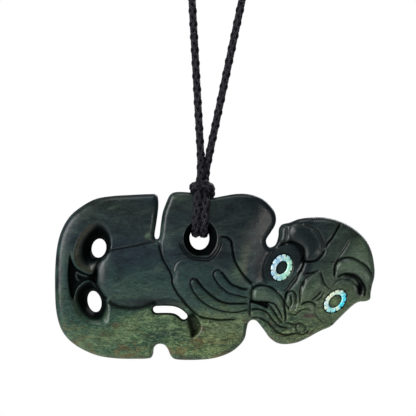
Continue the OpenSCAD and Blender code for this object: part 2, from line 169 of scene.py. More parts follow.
# Raised forms, laid over one another in this order. Columns: level in millimetres at
# the form's border, how much it swells, how far in it swells, how wide its border
# slopes, and its border.
FORMS = {
    "belly": (0.55, 1.15, 7.5, 1.0, [
        (360, 726), (320, 705), (298, 699), (267, 685), (236, 673), (204, 661), (179, 652),
        (148, 613), (136, 577), (128, 536), (127, 494), (131, 452), (139, 417), (151, 381),
        (167, 354), (179, 342), (220, 321), (267, 321), (298, 336), (323, 351), (360, 357),
        (410, 333), (410, 595)]),
    "arm": (1.25, 0.75, 10, 1.4, [
        (363, 1024), (354, 976), (345, 929), (335, 863), (331, 786), (326, 690), *HAND_EDGE,
        (616, 250), (613, 339), (620, 411), (650, 452), (665, 524), (684, 607), (696, 690),
        (719, 774), (735, 1012), (548, 1071)]),
    "hand": (1.45, 0.45, 5, 2.2, [
        (370, 524), (376, 565), (388, 589), (404, 604), (423, 613), (438, 616), (470, 607),
        (501, 583), (532, 548), (563, 500), (594, 452), (616, 417), (622, 357), (610, 250),
        (516, 238), (470, 250), (438, 280), (410, 333), (385, 393), (368, 458)]),
    "head": (0.75, 1.0, 9, 4.5, [
        (666, 679), (647, 583), (635, 506), (619, 440), (615, 411), (615, 375), (612, 339),
        (610, 304), (607, 226), (647, 60), (891, 60), (1047, 357), (1047, 833), (891, 923),
        (719, 893), (679, 762)]),
    "upper_socket": (0.75, 0.3, 6, 1.0, [
        *LID_EDGE, (704, 393), (672, 417), (651, 476), (647, 548), (660, 619), (685, 673),
        (713, 696), (738, 705), (760, 690)]),
    "lower_socket": (0.7, 0.35, 5, 0.8, [
        (860, 435), (878, 482), (906, 506), (934, 494), (953, 464), (967, 417), (972, 363),
        (953, 304), (919, 244), (875, 208), (828, 226), (807, 292), (816, 351), (838, 411)]),
    "upper_brow": (1.3, 0.8, 3.6, 0.6, [
        (775, 601), (788, 586), (803, 586), (816, 595), (828, 613), (838, 637), (844, 661),
        (841, 690), (835, 726), (825, 762), (810, 786), (791, 801), (766, 810), (744, 804),
        (732, 780), (732, 744), (741, 714), (760, 696), (772, 667), (775, 637)]),
    "ear": (1.0, 0.7, 1.4, 0.5, [
        (700, 690), (704, 738), (707, 780), (716, 804), (729, 798), (732, 768), (732, 732),
        (725, 702), (713, 690)]),
    "lower_brow": (1.2, 0.8, 2.6, 0.6, [
        *TEMPLE_EDGE, (975, 560), (994, 512), (1003, 446), (988, 381), (969, 405), (959, 458),
        (947, 494), (928, 515), (906, 521), (888, 506)]),
    "brow_end": (1.0, 0.6, 1.4, 0.5, [
        (963, 411), (978, 417), (994, 399), (994, 351), (975, 333), (959, 345), (956, 381)]),
    "nose": (1.3, 0.85, 2.6, 0.6, [
        (828, 530), (835, 494), (841, 458), (850, 435), (838, 423), (822, 393), (810, 369),
        (794, 354), (775, 351), (766, 375), (766, 417), (772, 452), (785, 482), (800, 506),
        (816, 524)]),
    "nose_wing": (1.2, 0.7, 1.2, 0.5, [
        (834, 417), (844, 410), (830, 370), (809, 344), (799, 354), (809, 366), (820, 383)]),
    "scroll": (1.0, 0.8, 1.3, 0.5, [*SCROLL_EDGE, (750, 290)]),
    "lip": (1.0, 1.05, 2.4, 0.6, [
        (616, 405), (622, 429), (632, 440), (647, 443), (666, 438), (682, 423), (697, 399),
        (710, 369), (716, 345), (722, 298), (722, 220), (710, 250), (700, 310), (688, 339),
        (672, 345), (647, 348), (622, 351), (615, 375)]),
    "tongue": (0.8, 0.5, 1.0, 0.4, [
        (663, 339), (679, 336), (691, 310), (704, 268), (716, 226), (707, 214), (694, 244),
        (679, 286), (666, 315)]),
    "lower_lip": (0.8, 0.75, 1.6, 0.5, [
        (607, 298), (629, 304), (647, 298), (663, 280), (679, 238), (697, 208), (719, 190),
        (741, 185), (747, 161), (735, 143), (719, 140), (700, 161), (685, 196), (666, 226),
        (647, 238), (629, 247), (607, 244)]),
    "mouth_corner": (0.6, 0.9, 1.3, 0.4, [
        (754, 212), (761, 220), (771, 215), (782, 198), (783, 179), (775, 162), (761, 168),
        (753, 188)]),
}

# Hollows. Columns: share of the hollow's depth, how far in they reach it, how hollow
# their slope is, how soft their border is, how much painted shade they get, the hole that they
# lead to with the turn of their lit side in degrees, and the border.
HOLLOWS = {
    "mouth_gap": (0.3, 0.5, 1, 0.6, 0.9, None, [
        (615, 360), (629, 349), (657, 346), (668, 338), (666, 309), (646, 322), (626, 336),
        (612, 345)]),
    "between": (0.34, 1.5, 0.8, 1.6, 1, None, [
        (48, 635), (56, 590), (68, 552), (90, 526), (114, 512), (133, 545), (131, 455),
        (104, 473), (86, 455), (70, 420), (60, 357), (50, 375), (43, 440), (40, 500), (42, 565)]),
    "upper": (1.5, 4.6, 1.5, 1.0, 1, (UPPER_HOLE, 8), [
        (120, 810), (133, 818), (148, 810), (164, 780), (173, 744), (176, 702), (173, 655),
        (161, 619), (145, 598), (129, 571), (117, 524), (98, 527), (80, 548), (67, 583),
        (62, 625), (67, 673), (76, 720), (92, 768), (111, 798)]),
    "lower": (1.5, 4.2, 1.5, 1.4, 0.95, (LOWER_HOLE, 75), [
        (117, 479), (129, 440), (145, 393), (164, 351), (168, 310), (167, 268), (161, 226),
        (142, 208), (111, 217), (92, 238), (76, 262), (64, 298), (58, 339), (58, 375), (67, 417),
        (83, 452), (101, 473)]),
    "hook": (0.75, 1.8, 1, 1.3, 0.6, None, [
        (413, 250), (432, 283), (448, 250), (457, 208), (454, 173), (445, 149), (429, 131),
        (423, 161), (418, 202)]),
}

# Carved lines. Columns: half-width in millimetres, depth as a share of the groove's
# depth, then the line. A share below 0 raises a ridge. A cut gets painted shade, and a ridge a
# light line of wear and painted highlight.
LINES = {
    "saddle": (0.3, -0.8, [(67, 524), (83, 506), (107, 494)]),
    "saddle_side": (0.3, -0.8, [(67, 524), (70, 482), (80, 470)]),
    "belly_line": (0.41, 0.8, [
        (320, 705), (298, 699), (267, 685), (236, 673), (204, 661), (179, 652), (158, 631)]),
    "belly_end": (1.0, 1.2, [
        (158, 631), (145, 607), (136, 577), (128, 536), (126, 494), (130, 452), (139, 417),
        (151, 381), (167, 354)]),
    "belly_under": (1.3, 0.8, [
        (167, 351), (179, 336), (198, 321), (220, 312), (245, 310), (270, 315), (298, 330),
        (323, 345)]),
    "lid_shadow": (1.0, 0.7, [(728, 706), (748, 696), (765, 668), (773, 625), (772, 570)]),
    "brow_shadow": (1.1, 0.9, [
        (900, 505), (918, 505), (935, 494), (948, 465), (955, 425), (955, 380)]),
    "brow_rim": (0.5, -0.45, [(829, 650), (829, 690), (822, 725), (812, 755), (797, 775)]),
    "brow_foot": (0.4, -0.35, [(786, 612), (800, 600), (815, 612), (826, 635)]),
    "low_brow_rim": (0.5, -0.4, [
        (886, 555), (905, 582), (928, 588), (948, 570), (968, 535), (984, 490), (990, 445)]),
    "lip_rim": (0.7, -0.3, [
        (636, 400), (655, 405), (675, 395), (692, 372), (702, 345), (708, 310)]),
    "second_line": (0.3, 0.45, [(261, 688), (279, 699), (298, 711), (317, 717)]),
    "hand_line": (0.45, 1.0, [(326, 702), *HAND_EDGE]),
    "bar_end": (0.8, 0.25, [(320, 955), (317, 880), (312, 800), (309, 750), (313, 722)]),
    "thumb": (0.38, 0.45, [
        (370, 524), (376, 565), (388, 589), (404, 604), (423, 613), (441, 619), (463, 616)]),
    "low_finger_out": (0.38, 0.9, [
        (441, 482), (432, 485), (424, 467), (427, 435), (435, 405), (445, 381), (454, 360),
        (470, 336), (491, 312), (516, 295), (541, 286), (566, 284), (588, 292), (610, 304)]),
    "low_finger_in": (0.52, 1.1, [
        (438, 483), (445, 476), (454, 452), (466, 426), (479, 402), (495, 378), (510, 357),
        (529, 342), (548, 336), (573, 335), (610, 335)]),
    "up_finger_out": (0.38, 0.9, [
        (520, 527), (510, 536), (499, 527), (496, 506), (499, 488), (507, 464), (516, 440),
        (529, 420), (541, 402), (557, 390), (573, 384), (591, 375), (610, 372)]),
    "up_finger_in": (0.52, 1.1, [
        (515, 533), (526, 512), (535, 488), (544, 467), (557, 446), (573, 435), (588, 423),
        (610, 420)]),
    "arm_line": (0.52, 1.2, [
        (516, 732), (529, 732), (541, 726), (551, 708), (554, 679), (557, 643), (560, 613),
        (565, 583), (573, 554), (582, 527), (594, 497), (610, 467), (622, 446)]),
    "wrist_line": (0.42, 0.75, [
        (622, 452), (615, 411), (615, 375), (612, 339), (610, 298), (610, 250)]),
    "lid": (0.45, 1.1, [
        (700, 679), (716, 693), (738, 702), (760, 688), (772, 673), *LID_EDGE, (721, 387),
        (719, 357)]),
    "curl_a": (0.3, 0.7, [(700, 690), (713, 702), (725, 720)]),
    "curl_b": (0.3, 0.7, [(697, 673), (713, 685), (729, 696)]),
    "brow_under": (0.45, 1.3, [
        (775, 619), (778, 598), (788, 585), (803, 585), (816, 593), (828, 611), (838, 635),
        (844, 661)]),
    "brow_side": (0.38, 0.6, [
        (844, 661), (841, 690), (835, 726), (825, 762), (810, 786), (791, 801), (772, 808)]),
    "ridge_a": (0.45, 1.1, [(894, 815), (881, 774), (866, 726), (853, 696), (844, 667)]),
    "ridge_b": (0.34, 0.5, [
        (922, 714), (910, 673), (897, 637), (888, 613), (878, 577), (874, 536), (872, 494)]),
    "temple": (0.45, 1.1, [(874, 488), *TEMPLE_EDGE, (972, 560), (984, 530), (994, 494)]),
    "brow_low": (0.68, 1.2, [
        (881, 488), (894, 506), (910, 513), (928, 510), (944, 497), (956, 473), (966, 440),
        (970, 405), (966, 369)]),
    "lid_low": (0.38, 0.5, [
        (863, 423), (875, 458), (891, 479), (910, 482), (928, 470), (944, 446), (953, 417),
        (956, 381)]),
    "nose_a": (0.38, 0.9, [(775, 515), (797, 518), (816, 527), (828, 536)]),
    "nose_b": (0.34, 0.7, [(775, 429), (778, 470), (791, 497), (803, 512), (819, 524)]),
    "nose_c": (0.38, 1.0, [(828, 533), (835, 494), (841, 458), (850, 435), (863, 417)]),
    "nose_d": (0.38, 1.0, [(834, 417), (827, 398), (820, 383), (809, 366), (799, 354)]),
    "nose_e": (0.38, 0.9, [(766, 333), (766, 375), (766, 417), (772, 452), (782, 476)]),
    "nostril_a": (0.45, 1.2, [(768, 324), (778, 340), (795, 347), (809, 338), (816, 317)]),
    "nostril_b": (0.38, 0.8, [(809, 344), (830, 370), (844, 410)]),
    "scroll_a": (0.38, 1.0, SCROLL_EDGE),
    "scroll_b": (0.38, 0.9, [
        (731, 393), (737, 380), (739, 361), (739, 338), (735, 324), (728, 314)]),
    "mid_low": (0.38, 0.8, [
        (713, 399), (725, 423), (738, 458), (754, 500), (766, 527), (775, 533)]),
    "lip_line": (0.45, 1.1, [
        (619, 417), (626, 435), (635, 442), (647, 445), (666, 439), (682, 424), (697, 400),
        (710, 370), (716, 345), (719, 304), (721, 262), (721, 220)]),
    "lip_under": (0.45, 1.1, [
        (619, 348), (635, 345), (654, 345), (672, 343), (688, 330), (697, 304), (707, 268),
        (713, 232)]),
    "tongue_a": (0.38, 0.9, [(663, 339), (676, 315), (688, 280), (700, 244), (716, 217)]),
    "lower_lip_a": (0.45, 1.1, [
        (610, 298), (629, 304), (647, 298), (663, 283), (676, 250), (691, 217), (710, 196),
        (735, 188)]),
    "lower_lip_b": (0.45, 0.9, [
        (610, 250), (629, 253), (647, 244), (666, 225), (680, 195), (698, 165), (712, 152),
        (733, 150), (754, 160), (775, 153), (788, 163), (793, 180)]),
    "mouth": (0.45, 0.8, [
        (713, 225), (733, 218), (754, 213), (761, 220), (771, 215), (782, 198), (783, 179),
        (775, 162)]),
    "corner_low": (0.38, 0.6, [(754, 213), (752, 198), (754, 182), (761, 168), (775, 162)]),
    "cheek": (0.38, 0.7, [
        (728, 291), (740, 271), (754, 271), (761, 285), (775, 301), (788, 304), (803, 295)]),
}

# Broad mounds and dips laid over the forms. Columns: centre, half-length and
# half-height in thousandths, turn in degrees and height in millimetres.
SWELLS = [
    (600, 840, 110, 180, 0, 0.35),
    (680, 640, 130, 420, 12, -1.3),
    (700, 900, 70, 260, 0, -0.5),
    (130, 500, 30, 170, 0, -0.3),
    (420, 480, 70, 150, 0, 0.25),
    (560, 330, 90, 130, 0, -0.4),
]
# Soft changes of the stone's tone, some real and some painted light and shade. Columns:
# centre, half-length and half-height in thousandths, turn in degrees, and how much lighter (above
# 0) or darker.
TONE_AND_LIGHT_SPOTS = [
    (645, 400, 45, 60, 0, 1.0),
    (700, 320, 20, 60, 20, 0.4),
    (805, 430, 50, 80, 0, 0.6),
    (940, 545, 64, 70, 0, 1.0),
    (962, 660, 36, 120, 0, 0.85),
    (240, 440, 130, 60, 0, 0.25),
    (600, 620, 40, 150, 14, 0.55),
    (760, 130, 110, 70, 0, 0.8),
    (505, 150, 90, 80, 0, 1.2),
    (330, 190, 60, 40, 0, 0.3),
    (220, 955, 90, 20, 0, 0.25),
    (390, 965, 40, 30, 0, 0.4),
    (291, 738, 11, 20, 0, 1.0),
    (180, 905, 24, 12, -20, 0.6),
    (880, 745, 120, 60, 0, -0.1),
    (600, 900, 140, 130, 0, -0.55),
    (655, 850, 34, 90, 0, -0.7),
    (530, 700, 60, 120, 0, -0.3),
    (780, 690, 60, 110, 0, -1.1),
    (786, 530, 16, 90, -8, -0.8),
    (656, 560, 48, 150, 12, -1.1),
    (740, 560, 40, 120, 0, -0.4),
    (480, 600, 60, 80, 0, -0.3),
    (240, 850, 130, 70, 0, -0.4),
    (146, 500, 26, 100, 0, -0.6),
    (10, 590, 8, 40, 0, -1.2),
    (11, 480, 6, 60, 10, -1.2),
    (300, 348, 100, 24, 0, -0.7),
    (520, 240, 90, 44, -6, 0.75),
    (795, 265, 26, 16, 0, -0.7),
    (822, 212, 16, 9, 0, -0.6),
    (925, 492, 28, 20, -30, -1.2),
    (953, 430, 11, 42, 10, -1.4),
    (750, 705, 18, 18, 0, -0.8),
    (575, 520, 30, 60, 0, 0.45),
]
# Eyes: centre in thousandths, half the ring's length and width in millimetres, its
# turn, and the same for the pupil.
UPPER_EYE = ((709, 550), (4.7, 3.55), 22, (2.5, 1.7), 32)
LOWER_EYE = ((876, 350), (4.6, 3.1), 45, (2.7, 1.75), 43)
RING_T = 1.2
RING_PROUD = 0.3
WELL_D = 0.6
NOTCHES = 12
NOTCH_D = 0.3
# The carved sockets are shallow, so the shell sits this much further forward in them
RING_LIFT = 0.7
RING_Y = FACE_Y + WELL_D - RING_PROUD - RING_LIFT
# The face's level between the forms, and what makes the carving soft or crisp, in
# millimetres: the width of a crest's painted highlight and wear, the slope that has one and how a
# line runs out
PLAIN_LEVEL = 0.75
CREST_W = 0.7
STEEP = 1
LINE_END = 1.4
# A carved line's shallow valley, in half-widths of its cut
VALLEY = 2.2
# How far distances are measured, in millimetres
HOLLOW_REACH = 12
BORDER_REACH = 6.0
# Points round a hole, and cells that the stone's grid is larger by
HOLE_STEPS = 72
SPARE_CELLS = 4
# What each vertex of the stone keeps for its material: painted shade, a light line of wear and
# painted highlight, painted light on the lit side of a hollow, and tone with painted light and
# shade
MARKS = ("cut", "crest", "painted_hollow_light", "tone")


# Plane geometry


def place(p):
    """A point in thousandths of the stone, as X and Z in millimetres."""
    return np.array([STONE_X + p[0] * STONE_W * MM, STONE_Z + p[1] * STONE_H * MM])


def unit(v):
    """Directions, one in each row, made 1 long."""
    return v / np.linalg.norm(v, axis=-1, keepdims=True)


def gone_along(line):
    """How far along a line each of its points lies."""
    return np.concatenate([[0], np.cumsum(np.linalg.norm(np.diff(line, axis=0), axis=1))])


def smooth_line(points, steps, closed=False):
    """A smooth line through points, whose tangents fit uneven spacing."""
    p = [np.array(q, float) for q in points]
    count = len(p)
    line = []
    for i in range(count if closed else count - 1):
        if closed:
            a, b, c, d = (p[(i + k) % count] for k in (-1, 0, 1, 2))
        else:
            b, c = p[i], p[i + 1]
            a = p[i - 1] if i else 2 * b - c
            d = p[i + 2] if i + 2 < count else 2 * c - b
        span = np.linalg.norm(c - b)
        mb = span * (c - a) / (np.linalg.norm(b - a) + span)
        mc = span * (d - b) / (span + np.linalg.norm(d - c))
        for t in np.arange(steps) / steps:
            line.append(
                (2 * t**3 - 3 * t**2 + 1) * b + (t**3 - 2 * t**2 + t) * mb
                + (3 * t**2 - 2 * t**3) * c + (t**3 - t**2) * mc
            )
    if not closed:
        line.append(p[-1])
    return np.array(line)


def stone_line(points, steps=4, closed=False):
    return smooth_line([place(p) for p in points], steps, closed)


def oval_line(row):
    """The border of a round hole, counter-clockwise."""
    turn = math.radians(-row[4])
    a = np.linspace(0, 2 * math.pi, HOLE_STEPS, endpoint=False)
    x, z = row[2] / 2 * np.cos(a), row[3] / 2 * np.sin(a)
    return place(row[:2]) + np.stack(
        [x * math.cos(turn) - z * math.sin(turn), x * math.sin(turn) + z * math.cos(turn)], 1
    )


def slot_end(centre, start):
    """A half turn round an end of the slot, clockwise from one side to the other."""
    turn = math.atan2(start[1], start[0]) - np.linspace(0, math.pi, 9)[1:-1]
    return centre + SLOT_W / 2 * np.stack([np.cos(turn), np.sin(turn)], 1)


def slot_border():
    """The pierced slot's border, counter-clockwise."""
    line = stone_line(SLOT_LINE)
    along = unit(np.gradient(line, axis=0))
    side = np.stack([-along[:, 1], along[:, 0]], 1) * SLOT_W / 2
    border = np.concatenate([
        line + side, slot_end(line[-1], side[-1]),
        (line - side)[::-1], slot_end(line[0], -side[0]),
    ])
    return border[::-1]


def nearest(points, line, reach, closed=False):
    """How far points are from a line, up to a reach, where along it and the foot."""
    ends = np.roll(line, -1, 0) if closed else line[1:]
    starts = line if closed else line[:-1]
    order = np.argsort(points[:, 0])
    x, z = points[order, 0], points[order, 1]
    best = np.full(len(points), float(reach) ** 2)
    along = np.zeros(len(points))
    foot = points[order].copy()
    for i, (a, b) in enumerate(zip(starts, ends)):
        first = np.searchsorted(x, min(a[0], b[0]) - reach)
        last = np.searchsorted(x, max(a[0], b[0]) + reach)
        above = np.abs(z[first:last] - (a[1] + b[1]) / 2)
        keep = np.flatnonzero(above < reach + abs(a[1] - b[1]) / 2) + first
        d = b - a
        px, pz = x[keep] - a[0], z[keep] - a[1]
        t = np.clip((px * d[0] + pz * d[1]) / max(d @ d, 1e-12), 0, 1)
        q = (px - t * d[0]) ** 2 + (pz - t * d[1]) ** 2
        closer = q < best[keep]
        keep, t = keep[closer], t[closer]
        best[keep] = q[closer]
        along[keep] = (i + t) / len(starts)
        foot[keep, 0] = a[0] + t * d[0]
        foot[keep, 1] = a[1] + t * d[1]
    back = np.argsort(order)
    return np.sqrt(best)[back], along[back], foot[back]


def inside(points, line):
    """Whether points are inside a closed line."""
    found = np.zeros(len(points), bool)
    x, z = points.T
    for a, b in zip(line, np.roll(line, -1, 0)):
        if a[1] != b[1]:
            left = x < (b[0] - a[0]) * (z - a[1]) / (b[1] - a[1]) + a[0]
            found ^= ((a[1] > z) != (b[1] > z)) & left
    return found


def close_to(points, line, reach):
    """Which points lie in the line's box, grown by a reach."""
    low, high = line.min(0) - reach, line.max(0) + reach
    return np.flatnonzero(((points >= low) & (points <= high)).all(1))


def eye_axes(offsets, turn):
    """How far offsets from an eye's middle go along it and across it."""
    t = math.radians(90 - turn)
    return offsets @ [math.cos(t), math.sin(t)], offsets @ [-math.sin(t), math.cos(t)]


def from_eye_axes(along, across, turn):
    t = math.radians(90 - turn)
    return np.stack([
        along * math.cos(t) - across * math.sin(t), along * math.sin(t) + across * math.cos(t)
    ], 1)


def ease(x):
    x = np.clip(x, 0, 1)
    return x * x * (3 - 2 * x)


def swell(x):
    """A soft round: 0 at the border, 1 and level where x is 1."""
    return 1 - (1 - np.clip(x, 0, 1)) ** 2.2


def dome(x):
    """A quarter round: 0 at the border, 1 where x is 1."""
    x = np.clip(x, 0, 1)
    return np.sqrt(np.maximum(0, 1 - (1 - x) ** 2))


def bell(x):
    """1 at 0, and soon next to nothing on both sides."""
    return np.exp(-(x**2))


# The stone's relief


class Relief:
    """Heights over the plate's face at points of the stone, in millimetres.

    It also marks the light and shade that are painted into the colour: painted shade
    where it is cut, a light line along a ridge that is partly wear and partly painted
    highlight, painted light where a hollow is lit, and how light or dark the stone is,
    partly with painted light and shade.
    """

    def __init__(self, points, groove, hollow):
        self.points = points
        self.groove = groove
        self.hollow = hollow
        self.height = np.full(len(points), PLAIN_LEVEL)
        self.cut, self.crest, self.painted_hollow_light = np.zeros((3, len(points)))
        self.round_end(*LEG_END)
        for row in FORMS.values():
            self.lay(*row)
        for row in SWELLS:
            self.height += row[5] * (1 - np.clip(self.oval(*row[:5]), 0, 1)) ** 2
        self.round_end(*HEAD_END)
        for row in HOLLOWS.values():
            self.scoop(*row)
        for row in LINES.values():
            self.carve(*row)
        self.tone = sum(row[5] * np.exp(-self.oval(*row[:5])) for row in TONE_AND_LIGHT_SPOTS)
        self.bevel_hole()
        self.line_holes()
        for eye in (UPPER_EYE, LOWER_EYE):
            self.sink_eye(eye)

    def find(self, line, reach, closed=True):
        """Which points lie near a line, and how far from it and along it they are."""
        near = close_to(self.points, line, reach)
        d, along, _ = nearest(self.points[near], line, reach, closed)
        return near, d, along

    def paint_shade(self, near, shade):
        self.cut[near] = np.maximum(self.cut[near], shade)

    def round_end(self, part, wide, drop, lift):
        """Rounds the face toward a part of the outline, and lifts it all a little."""
        line = stone_line(OUTLINE[part], 3)
        d, _, _ = nearest(self.points, line, wide + 0.5)
        self.height += drop * (swell(d / wide) - 1) + lift

    def oval(self, u, v, long, high, turn):
        """0 in the middle of an oval and 1 on its border."""
        d = self.points - place((u, v))
        t = math.radians(turn)
        along = (d @ [math.cos(t), -math.sin(t)]) / (long * MM * STONE_W)
        up = (d @ [math.sin(t), math.cos(t)]) / (high * MM * STONE_H)
        return along**2 + up**2

    def lay(self, level, rise, reach, border, points):
        """Lays a raised form over what is there. One with a steep border gets a light line along
        its top, partly wear and partly painted highlight.
        """
        line = stone_line(points, 3, True)
        near = close_to(self.points, line, 0)
        near = near[inside(self.points[near], line)]
        d, _, _ = nearest(self.points[near], line, max(reach, border), True)
        top = level + rise * swell(d / reach)
        share = ease(d / border)
        self.height[near] += share * (top - self.height[near])
        edge = bell((d - border) / CREST_W) * (border < STEEP)
        self.crest[near] = np.maximum(self.crest[near] * (1 - share), edge)

    def carve(self, half, share, points):
        """A narrow cut in the middle of a shallow valley, or a ridge."""
        line = stone_line(points, 4)
        wide = half * VALLEY
        near, d, along = self.find(line, wide, closed=False)
        run = gone_along(line)[-1]
        end = ease(np.minimum(along, 1 - along) * run / LINE_END + 0.15)
        cut = np.clip(1 - d / half, 0, 1)
        depth = end * (0.7 * cut + 0.3 * (1 - ease(d / wide)))
        self.height[near] -= share * self.groove * depth
        # A cut gets painted shade, and a ridge a light line that is partly wear and partly painted
        # highlight
        if share > 0:
            self.paint_shade(near, end * min(1, share) * bell(d / half / 0.75))
        else:
            light = end * bell(d / half)
            self.crest[near] = np.maximum(self.crest[near], light)
            self.cut[near] *= 1 - 0.8 * light

    def scoop(self, share, reach, curve, soft, shade, hole, points):
        """A bowl that deepens toward a hole, or within a reach of its border."""
        line = stone_line(points, 4, True)
        near = close_to(self.points, line, 0.8)
        spots = self.points[near]
        d, _, _ = nearest(spots, line, HOLLOW_REACH, True)
        d[~inside(spots, line)] *= -1
        if hole:
            # The wide side of the hole is lit, and the steep side is dark
            hole, turn = hole
            border = oval_line(hole)
            left, _, _ = nearest(spots, border, HOLLOW_REACH, True)
            left[inside(spots, border)] = 0
            way_in = np.clip(d, 0, None) / (np.clip(d, 0, None) + left + 0.3)
            t = math.radians(turn)
            lit = ease(0.4 - (spots - place(hole[:2])) @ [math.cos(t), math.sin(t)] / 6)
        else:
            way_in = np.sin(math.pi / 2 * np.clip(d / reach, 0, 1))
            lit = np.zeros(len(d))
        floor = 0.5 - (share * self.hollow + 0.5) * way_in**curve
        mix = ease(d / soft + 0.6)
        now = self.height[near]
        self.height[near] = now + mix * (np.minimum(floor, now) - now)
        # Painted shade deepens toward the hole, less on its lit side, and painted light lies on
        # the lit side near the border
        self.paint_shade(near, ease((way_in + 0.18 - 0.26 * lit) / 0.5) * mix * shade)
        self.painted_hollow_light[near] = np.maximum(self.painted_hollow_light[near], mix * lit * (1 - ease(way_in / 0.6)))

    def bevel_hole(self):
        """A wide bevel and two thin lips run round the cord hole, with painted shade in the bevel
        and along the lips.
        """
        near, d, _ = self.find(oval_line(CORD_HOLE), 5)
        offset = self.points[near] - place(CORD_HOLE[:2])
        # The bevel is widest on the head's side, and the lips show below the hole
        bevel = CORD_BEVEL * (1 + 0.4 * ease(offset[:, 0] / 4))
        low = np.clip((bevel - d) / bevel, 0, 1)
        self.height[near] -= BEVEL_D * low**1.3
        under = ease(-offset[:, 1] / 2.5)
        # Each lip below the hole also gets a line of painted shade
        for out, deep in LIPS:
            off = d - (bevel + out)
            self.height[near] -= deep * under * bell(off / 0.28)
            self.paint_shade(near, under * bell(off / 0.3))
        # The bevel gets painted shade and a darker tone
        self.paint_shade(near, ease(low * 4))
        self.tone[near] = np.minimum(self.tone[near], -1.2 * ease(low * 4))

    def line_holes(self):
        """A line of painted shade round each hole that has no bevel."""
        for line in (oval_line(UPPER_HOLE), oval_line(LOWER_HOLE), slot_border()):
            near, d, _ = self.find(line, 1)
            self.paint_shade(near, bell(d / 0.45))

    def sink_eye(self, eye):
        """The floor under a ring, and a dish that rises from the ring to the lids."""
        at, half, turn, pupil, pupil_turn = eye
        offset = self.points - place(at)
        along, across = eye_axes(offset, turn)
        out = (np.hypot(along / half[0], across / half[1]) - 1) * half[1]
        dish = RING_LIFT + np.where(out < 0.2, -WELL_D, -0.12 + 0.14 * out)
        self.height -= np.maximum(0, self.height - dish) * (1 - ease((out - 1.5) / 4))
        along, across = eye_axes(offset, pupil_turn)
        pupil_out = (np.hypot(along / pupil[0], across / pupil[1]) - 1) * pupil[1]
        everywhere = slice(None)
        # Painted shade in the seam round the ring and round the pupil
        self.paint_shade(everywhere, 0.9 * bell(out / 0.3))
        self.paint_shade(everywhere, 0.85 * bell(pupil_out / 0.35))


def stone_borders():
    """The stone's outline and its holes, all counter-clockwise."""
    holes = [oval_line(hole) for hole in (CORD_HOLE, UPPER_HOLE, LOWER_HOLE)]
    return [stone_line(OUTLINE, 6, True), *holes, slot_border()]


def to_border(points, borders):
    """Signed distance to the stone's border, positive in the stone, and the foot."""
    best = np.full(len(points), BORDER_REACH)
    foot = points.copy()
    solid = inside(points, borders[0])
    for line in borders[1:]:
        solid &= ~inside(points, line)
    for line in borders:
        near = close_to(points, line, BORDER_REACH)
        d, _, spot = nearest(points[near], line, BORDER_REACH, True)
        closer = d < best[near]
        best[near[closer]] = d[closer]
        foot[near[closer]] = spot[closer]
    return np.where(solid, best, -best), foot


def snap_to_lines(points, cell):
    """Moves the points nearest to each carved line onto it, so that cuts stay crisp."""
    best = np.full(len(points), 0.45 * cell)
    moved = points.copy()
    for _, _, row in LINES.values():
        line = stone_line(row, 4)
        near = close_to(points, line, cell)
        d, _, foot = nearest(points[near], line, cell)
        closer = d < best[near]
        best[near[closer]] = d[closer]
        moved[near[closer]] = foot[closer]
    return moved


# The stone's mesh


def coords(bm):
    return np.array([v.co for v in bm.verts], float).reshape(-1, 3)


def edge_row(bm, edges):
    """Extrudes edges in place: the new vertices, each with its old one, and the new edges."""
    made = bmesh.ops.extrude_edge_only(bm, edges=edges)["geom"]
    new = {v for v in made if isinstance(v, bmesh.types.BMVert)}
    owners = {}
    for v in new:
        others = [e.other_vert(v) for e in v.link_edges]
        owners[v] = next(other for other in others if other not in new)
    edges = [e for e in made if isinstance(e, bmesh.types.BMEdge)]
    return owners, [e for e in edges if new.issuperset(e.verts)]


def stone_sheet(borders, cell):
    """A flat grid that is cut to the outline and ends on it."""
    bm = bmesh.new()
    nx, nz = (round(size / cell) + SPARE_CELLS for size in (STONE_W, STONE_H))
    bmesh.ops.create_grid(bm, x_segments=nx, y_segments=nz, size=0.5)
    centre = place((500, 500))
    bmesh.ops.transform(
        bm, verts=bm.verts,
        matrix=Matrix.Translation((centre[0], 0, centre[1]))
        @ Matrix.Rotation(math.pi / 2, 4, "X")
        @ Matrix.Diagonal((nx * cell, nz * cell, 1, 1)),
    )
    middles = np.array([f.calc_center_median() for f in bm.faces])[:, [0, 2]]
    depth, _ = to_border(middles, borders)
    outside = [f for f, d in zip(bm.faces, depth) if d <= 0]
    bmesh.ops.delete(bm, geom=outside, context="FACES")
    rim_verts = [v for v in bm.verts if v.is_boundary]
    points = np.array([v.co for v in rim_verts])[:, [0, 2]]
    _, foot = to_border(points, borders)
    for v, spot in zip(rim_verts, foot):
        v.co = (spot[0], 0, spot[1])
    bmesh.ops.remove_doubles(bm, verts=bm.verts, dist=0.12 * cell)
    inner = [v for v in bm.verts if not v.is_boundary
             and any(e.other_vert(v).is_boundary for e in v.link_edges)]
    for _ in range(3):
        bmesh.ops.smooth_vert(bm, verts=inner, factor=0.5, use_axis_x=True, use_axis_z=True)
    return bm


def stone_plan(bm, borders, cell, rim):
    """Where each vertex goes in the plan, and how deep in the rounded rim it is."""
    plan = coords(bm)[:, [0, 2]]
    depth, foot = to_border(plan, borders)
    depth = np.maximum(depth, 0)
    depth[[i for i, v in enumerate(bm.verts) if v.is_boundary]] = 0
    # Rows near the rim close up, so that they turn the rounded edge evenly
    near = (depth > 0) & (depth < rim)
    closed = rim * (1 - np.cos(math.pi / 2 * depth / rim))
    share = (closed / np.maximum(depth, 1e-9))[:, None]
    moved = foot + (plan - foot) * share
    moved[~near] = snap_to_lines(plan[~near], cell)
    fixed = depth <= 0
    moved[fixed] = plan[fixed]
    return moved, np.where(near, closed, depth)


